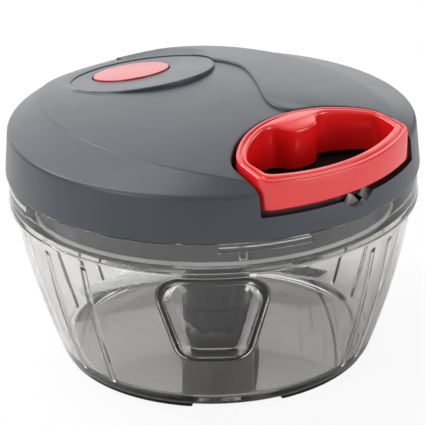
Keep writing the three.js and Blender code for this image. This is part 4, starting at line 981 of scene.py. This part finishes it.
def grip_depth_at(x, z, grow):
    """How deep a point lies inside the grip's rounded outline."""
    c = GRIP_CORNER
    far, inside = 1e9, True
    low, top = GRIP_LOW_Z + c, GRIP_TOP_Z - c
    core = [(-GRIP_HALF_LOW + c, low), (GRIP_HALF_LOW - c, low)]
    core += [(GRIP_HALF_TOP - c, top), (-GRIP_HALF_TOP + c, top)]
    for i in range(4):
        (ax, az), (bx, bz) = core[i], core[(i + 1) % 4]
        ex, ez, px, pz = bx - ax, bz - az, x - ax, z - az
        t = min(1, max(0, (px * ex + pz * ez) / (ex * ex + ez * ez)))
        far = min(far, math.hypot(px - ex * t, pz - ez * t))
        if ex * pz - ez * px < 0:
            inside = False
    return c + grow + (far if inside else -far)


def turn_from(a, b):
    return (a - b + math.pi) % (2 * math.pi) - math.pi


def grip_push(a, r, z, grow):
    for at in GRIP_AT:
        d = turn_from(a, at)
        if abs(d) < 0.5:
            deep = grip_depth_at(r * math.sin(d), z, grow)
            return GRIP_DEPTH * smooth((deep + 0.5) / GRIP_SOFT)
    return 0


def rib_push(a, r, z):
    push = 0
    for at in RIB_AT:
        d = abs(turn_from(a, at)) * r
        if d < RIB_HALF:
            ends = smooth((RIB_TOP_Z - z) / RIB_FADE)
            push = max(push, RIB_HIGH * smooth((RIB_HALF - d) / RIB_SOFT) * ends)
    return push


print(len(GRIP_AT), "grips and", len(RIB_AT), "ribs")

# %% [markdown]
# ## Wall of the bowl
# A grid as fine as a rib needs would be too heavy all round, so it is fine near grips and ribs and
# coarse elsewhere. Each angle gives one closed column: up the outside, over the collar and down
# the inside.

# %% Grid of the wall
GRID_LEAST = 0.08  # degrees


def bowl_angles():
    marks = {round(i * 1.0, 3) for i in range(360)}
    for at in GRIP_AT:
        marks.update(round((math.degrees(at) + i * 0.25) % 360, 3) for i in range(-88, 89))
    for at in RIB_AT:
        marks.update(round((math.degrees(at) + i * 0.13) % 360, 3) for i in range(-9, 10))
    out = [0.0]
    for d in sorted(marks):
        if d - out[-1] > GRID_LEAST:
            out.append(d)
    return [math.radians(d) for d in out]


def heights(low, high):
    out, z = [], low
    while z < high:
        out.append(z)
        near = min(abs(z - e) for e in (GRIP_LOW_Z, GRIP_TOP_Z))
        z += 0.35 if near < 2.6 else 1.0
    return out


print(len(bowl_angles()), "angles")

# %% Columns of the wall
FLOOR_LOW_Z, FLOOR_TOP_Z = 1, 3.6
COLLAR_IN_R, BEAD = COLLAR_R - 2, 0.3
COLLAR_LINE = soften(
    [
        (side_r(50.9), 50.9),
        (STEP_R, STEP_Z),
        (COLLAR_R + BEAD, STEP_Z + RUN),
        (COLLAR_R + BEAD, STEP_Z + 0.9),
        (COLLAR_R, STEP_Z + 1.1),
        (COLLAR_R, RIM_Z),
        (COLLAR_IN_R, RIM_Z),
        (COLLAR_IN_R, STEP_Z + 2),
        (STEP_R - WALL, STEP_Z + 2),
        (side_r(50.5) - WALL, 50.5),
    ],
    0.2,
    4,
)


def bowl_column(a, outs, ins):
    column = [(BASE_R - 1.1, 1.0), (BASE_R - 0.5, 1.08), (BASE_R - 0.12, 1.35)]
    for z in outs:
        column.append((side_r(z) - grip_push(a, side_r(z), z, 0), z))
    column += [(p[0], p[1]) for p in COLLAR_LINE]
    for z in ins:
        r = side_r(z) - WALL
        column.append((r - grip_push(a, r, z, WALL * 0.8) - rib_push(a, r, z), z))
    r = side_r(FLOOR_TOP_Z) - WALL
    return column + [(r - 0.15, 4.3), (r - 0.6, 3.85), (r - 1.4, FLOOR_TOP_Z)]


def bowl_wall():
    outs, ins = heights(1.9, 50.7), heights(4.9, 50.2)[::-1]
    angles = bowl_angles()
    columns = [bowl_column(a, outs, ins) for a in angles]
    n = len(columns[0])
    points = []
    for a, column in zip(angles, columns):
        points += [(r * math.cos(a), r * math.sin(a), z) for r, z in column]
    low, high = len(points), len(points) + 1
    points += [(0, 0, FLOOR_LOW_Z), (0, 0, FLOOR_TOP_Z)]
    faces = []
    for i in range(len(angles)):
        j = (i + 1) % len(angles)
        faces += [(low, j * n, i * n), (high, i * n + n - 1, j * n + n - 1)]
        for k in range(n - 1):
            faces.append((i * n + k, j * n + k, j * n + k + 1, i * n + k + 1))
    return outward(make("bowl_form", points, faces))


bowl = bowl_wall()
print("bowl wall of", len(bowl.data.polygons), "faces")

# %% [markdown]
# ## Foot ring, lugs and pin boss
# The bowl stands on four arcs of a foot ring. Inside the collar four lugs, each with a stop, hold
# the lid's bayonet, and a boss in the floor holds the steel pin. They could be part of the grid,
# but would make it heavy, so separate blocks are joined to it.

# %% Bent blocks
FOOT_IN_R, FOOT_OUT_R, FOOT_HIGH, FOOT_DEG = 45.6, 49.1, 3.3, 57
LUG_IN_R, LUG_OUT_R = COLLAR_IN_R - 1.3, COLLAR_IN_R + 1
LUG_LOW_Z, LUG_TOP_Z, LUG_DEG = 57.7, 59.3, 26
STOP_LOW_Z, STOP_DEG, STOP_BACK = 55.4, 2, 6.5
PIN_BOSS_R, PIN_BOSS_TOP_Z, PIN_HOLE_R = 6.7, 5, 3.3


def sector(inner, outer, low, high, middle_deg, width_deg, round_by=0.25):
    """A block bent round the axis, its middle at an angle counted from -Y."""
    mid, half = math.radians(middle_deg - 90), math.radians(width_deg / 2)
    steps = max(6, int(width_deg))
    loop = arc(0, 0, outer, mid - half, mid + half, steps)
    loop += arc(0, 0, inner, mid + half, mid - half, steps)
    loop = ease(loop, round_by * 2, 30, 3)
    rings = [rise(shift(loop, -round_by), low), rise(loop, low + round_by)]
    rings += [rise(loop, high - round_by), rise(shift(loop, -round_by), high)]
    return stack("sector", rings)


print("foot ring", round(FOOT_OUT_R - FOOT_IN_R, 1), "mm wide, in arcs of", FOOT_DEG, "degrees")

# %% Bowl
extra = []
for i in range(4):
    foot_at, lug_at = BOWL_TURN + 8 + 90 * (i + 0.5), BOWL_TURN + 15 + 90 * i
    extra.append(sector(FOOT_IN_R, FOOT_OUT_R, 0, FOOT_HIGH, foot_at, FOOT_DEG))
    extra.append(sector(LUG_IN_R, LUG_OUT_R, LUG_LOW_Z, LUG_TOP_Z, lug_at, LUG_DEG))
    extra.append(sector(LUG_IN_R, LUG_OUT_R, STOP_LOW_Z, LUG_TOP_Z, lug_at - STOP_BACK, STOP_DEG))
boss_line = [(0, 1.4), (PIN_BOSS_R, 1.4), (PIN_BOSS_R, PIN_BOSS_TOP_Z - 0.3)]
boss_line += [(PIN_BOSS_R - 0.3, PIN_BOSS_TOP_Z), (0, PIN_BOSS_TOP_Z)]
extra.append(turned("pin_boss", boss_line, 64))
carve(bowl, extra, "UNION")
carve(bowl, [drum("pin_hole", PIN_HOLE_R, 2, PIN_BOSS_TOP_Z + 1, 32)])
settle(bowl, bowl_smoke, "bowl", "bowl", 40)

# %% [markdown]
# ## Vent spring
# A steel coil on the floor of the well pushes the cap up. A rigid coil would sink into the floor when
# the cap is pressed; this one is built at rest and takes the place of the imported coil.

# %% Coil
SPRING_R, WIRE_R, COILS, COIL_STEPS, WIRE_SIDES = 4.8, 0.4, 4, 32, 10
SPRING_LOW, SPRING_HIGH = WELL_FLOOR_Z + WIRE_R, BUTTON_LOW_Z + CAP_ROOF - WIRE_R
wire_rings = []
for step in range(COILS * COIL_STEPS + 1):
    a = 2 * math.pi * step / COIL_STEPS
    z = SPRING_LOW + (SPRING_HIGH - SPRING_LOW) * step / (COILS * COIL_STEPS)
    ring = []
    for c, s in arc(0, 0, WIRE_R, 0, 2 * math.pi, WIRE_SIDES)[:-1]:
        ring.append(((SPRING_R + c) * math.cos(a), VENT_Y + (SPRING_R + c) * math.sin(a), z + s))
    wire_rings.append(ring)
vent_spring = outward(stack("vent_spring_form", wire_rings))
shade(vent_spring, turned_steel, 50)
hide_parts("vent_spring")
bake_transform(vent_spring)
print("coil of", COILS, "turns and", round(SPRING_HIGH - SPRING_LOW + 2 * WIRE_R, 1), "mm")

# %% [markdown]
# ## Cord
# The short piece of cord between guide and handle is drawn out when the handle is pulled. A stiff
# piece would leave one of them; this one is built at rest and takes the place of the imported tail.

# %% Cord tail
TAIL_START, TAIL_END, TAIL_R, TAIL_STEPS = -28.4, -33.2, 0.78, 24
tail_rings = []
for step in range(TAIL_STEPS + 1):
    y = TAIL_START + (TAIL_END - TAIL_START) * step / TAIL_STEPS
    ring = [(TAIL_R * c, y, CORD_Z + TAIL_R * s) for c, s in arc(0, 0, 1, 0, 2 * math.pi, 16)[:-1]]
    tail_rings.append(ring)
cord_tail = outward(stack("cord_tail_form", tail_rings))
shade(cord_tail, pull_cord, 40)
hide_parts("cord_tail")
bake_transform(cord_tail)
print("cord tail", round(TAIL_START - TAIL_END, 1), "mm long at rest")

# %% [markdown]
# ## Camera
# A long lens looks down at the chopper from the handle's side. Its place comes from the ellipses
# of lid and bowl, which look flatter the lower a camera stands. A target could aim it, but not
# give its slight roll, so its three axes are built here.

# %% Camera
LOOK_AT = Vector((-0.31, 0.30, 43.31)) * MM
DISTANCE, LENS = 0.64105, 170.49
turn, lift, roll = math.radians(41.16), math.radians(23.6755), math.radians(-1.4756)
away = Vector((-math.cos(lift) * math.sin(turn), -math.cos(lift) * math.cos(turn), math.sin(lift)))
level = Vector((math.cos(turn), -math.sin(turn), 0))
up = away.cross(level)
right = level * math.cos(roll) + up * math.sin(roll)
up = up * math.cos(roll) - level * math.sin(roll)
lens = bpy.data.cameras.new("photo_view")
lens.lens, lens.sensor_width, lens.sensor_fit = LENS, 36, "HORIZONTAL"
lens.clip_end = 20
photo_view = bpy.data.objects.new("photo_view", lens)
spot = LOOK_AT + away * DISTANCE
axes = [(right[i], up[i], away[i], spot[i]) for i in range(3)]
photo_view.matrix_world = Matrix(axes + [(0, 0, 0, 1)])
bpy.context.scene.collection.objects.link(photo_view)
bpy.context.scene.camera = photo_view
print("camera at", [round(v, 3) for v in spot])

# %% [markdown]
# ## Light
# Dark plastic shows its form by what it mirrors. Small lamps would only leave dots, so large
# panels do the work: the widest, behind, gives the sheen on the lid, a small one to its left draws
# the edges of boss and leaf, and others fill the sides. Only the camera and rays through the bowl
# see the sky white.


# %% Panels
def panel(name, at, size, power, aim=(0, 0, 0.05)):
    data = bpy.data.lights.new(name, "AREA")
    data.shape, data.size, data.size_y, data.energy = "RECTANGLE", size[0], size[1], power
    lamp = bpy.data.objects.new(name, data)
    lamp.location = at
    lamp.rotation_euler = (Vector(aim) - Vector(at)).to_track_quat("-Z", "Y").to_euler()
    bpy.context.scene.collection.objects.link(lamp)
    print("panel", name, "with", power, "W")


panel("over", (-0.15, 0.5, 1.0), (0.6, 0.35), 4.5)
panel("behind", (0.6, 1.05, 0.52), (2.0, 1.1), 10.8)
panel("edge", (-0.42, 0.72, 0.68), (0.16, 0.3), 4)
panel("left", (-1.0, 0.05, 0.5), (0.4, 0.5), 3.3)
panel("front", (0.4, -1.1, 0.3), (0.8, 0.45), 6)
panel("right", (1.1, -0.2, 0.4), (0.4, 0.5), 1.2)

# %% Sky
SKY_LOW, SKY_HIGH = 0.06, 0.45
world = bpy.data.worlds.new("studio")
bpy.context.scene.world = world
world.use_nodes = True
sky = world.node_tree
back = sky.nodes["Background"]
back.inputs["Color"].default_value = (1, 1, 1, 1)
rays = sky.nodes.new("ShaderNodeLightPath")
way = sky.nodes.new("ShaderNodeTexCoord")
parts = sky.nodes.new("ShaderNodeSeparateXYZ")
sky.links.new(way.outputs["Generated"], parts.inputs["Vector"])
climb = spread(sky, parts.outputs["Z"], SKY_LOW, SKY_HIGH, -0.05, 0.4)
white, strength = sky.nodes.new("ShaderNodeMath"), sky.nodes.new("ShaderNodeMath")
white.operation = strength.operation = "MAXIMUM"
sky.links.new(rays.outputs["Is Camera Ray"], white.inputs[0])
sky.links.new(rays.outputs["Is Transmission Ray"], white.inputs[1])
sky.links.new(white.outputs[0], strength.inputs[0])
sky.links.new(climb, strength.inputs[1])
sky.links.new(strength.outputs[0], back.inputs["Strength"])
bpy.context.scene.view_settings.view_transform = "Standard"
print("sky from", SKY_LOW, "to", SKY_HIGH)

# %% [markdown]
# ## Table
# A pale table catches the shadow of the bowl. A stronger lamp could melt it into the white
# backdrop, but would burn out the red handle, so the table glows for the camera only, and the bowl
# doesn't mirror the glow.

# %% Table
TABLE_HALF, GLOW_SHARE = 2.5, 0.9
corners = [(-1, -1), (1, -1), (1, 1), (-1, 1)]
table_mesh = bpy.data.meshes.new("table")
table_points = [(x * TABLE_HALF, y * TABLE_HALF, 0) for x, y in corners]
table_mesh.from_pydata(table_points, [], [(0, 1, 2, 3)])
table = bpy.data.objects.new("table", table_mesh)
bpy.context.scene.collection.objects.link(table)
table_white, tree, matt = blank("table_white")
matt.inputs["Roughness"].default_value = 0.9
tint(tree, matt, noise(tree, 40, 3), (0.78, 0.78, 0.78), (0.82, 0.82, 0.82))
glow = tree.nodes.new("ShaderNodeEmission")
seen = tree.nodes.new("ShaderNodeLightPath")
share = tree.nodes.new("ShaderNodeMath")
share.operation = "MULTIPLY"
share.inputs[1].default_value = GLOW_SHARE
mix = tree.nodes.new("ShaderNodeMixShader")
tree.links.new(seen.outputs["Is Camera Ray"], share.inputs[0])
tree.links.new(share.outputs[0], mix.inputs["Fac"])
tree.links.new(matt.outputs["BSDF"], mix.inputs[1])
tree.links.new(glow.outputs["Emission"], mix.inputs[2])
tree.links.new(mix.outputs["Shader"], tree.nodes["Material Output"].inputs["Surface"])
table.data.materials.append(table_white)
print("table", 2 * TABLE_HALF, "m wide")

# %% [markdown]
# ## Pieces that keep their form
# Reel, axle, stem, blades, screws and seal hardly show through the smoky bowl. Finer meshes would
# change little, so they keep their packed form and take the finish of their material. The blades
# get the ground steel.

# %% Finishes by material
finishes = {
    "clear_plastic": bowl_smoke,
    "slate_plastic": lid_grey,
    "grey_plastic": base_grey,
    "red_plastic": handle_red,
    "ink_plastic": stem_ink,
    "white_plastic": reel_white,
    "silicone": seal_rubber,
    "cord": pull_cord,
    "steel": turned_steel,
    "brass": bush_brass,
}
for part in frame["record"]["subparts"]:
    node = nodes[part["node"]]
    node.data.materials.clear()
    node.data.materials.append(finishes[part["material_slot"]])
nodes["handle_rest"].data.materials[0] = rest_grey
for blade in ("blade_lower", "blade_middle", "blade_upper"):
    nodes[blade].data.materials[0] = blade_steel
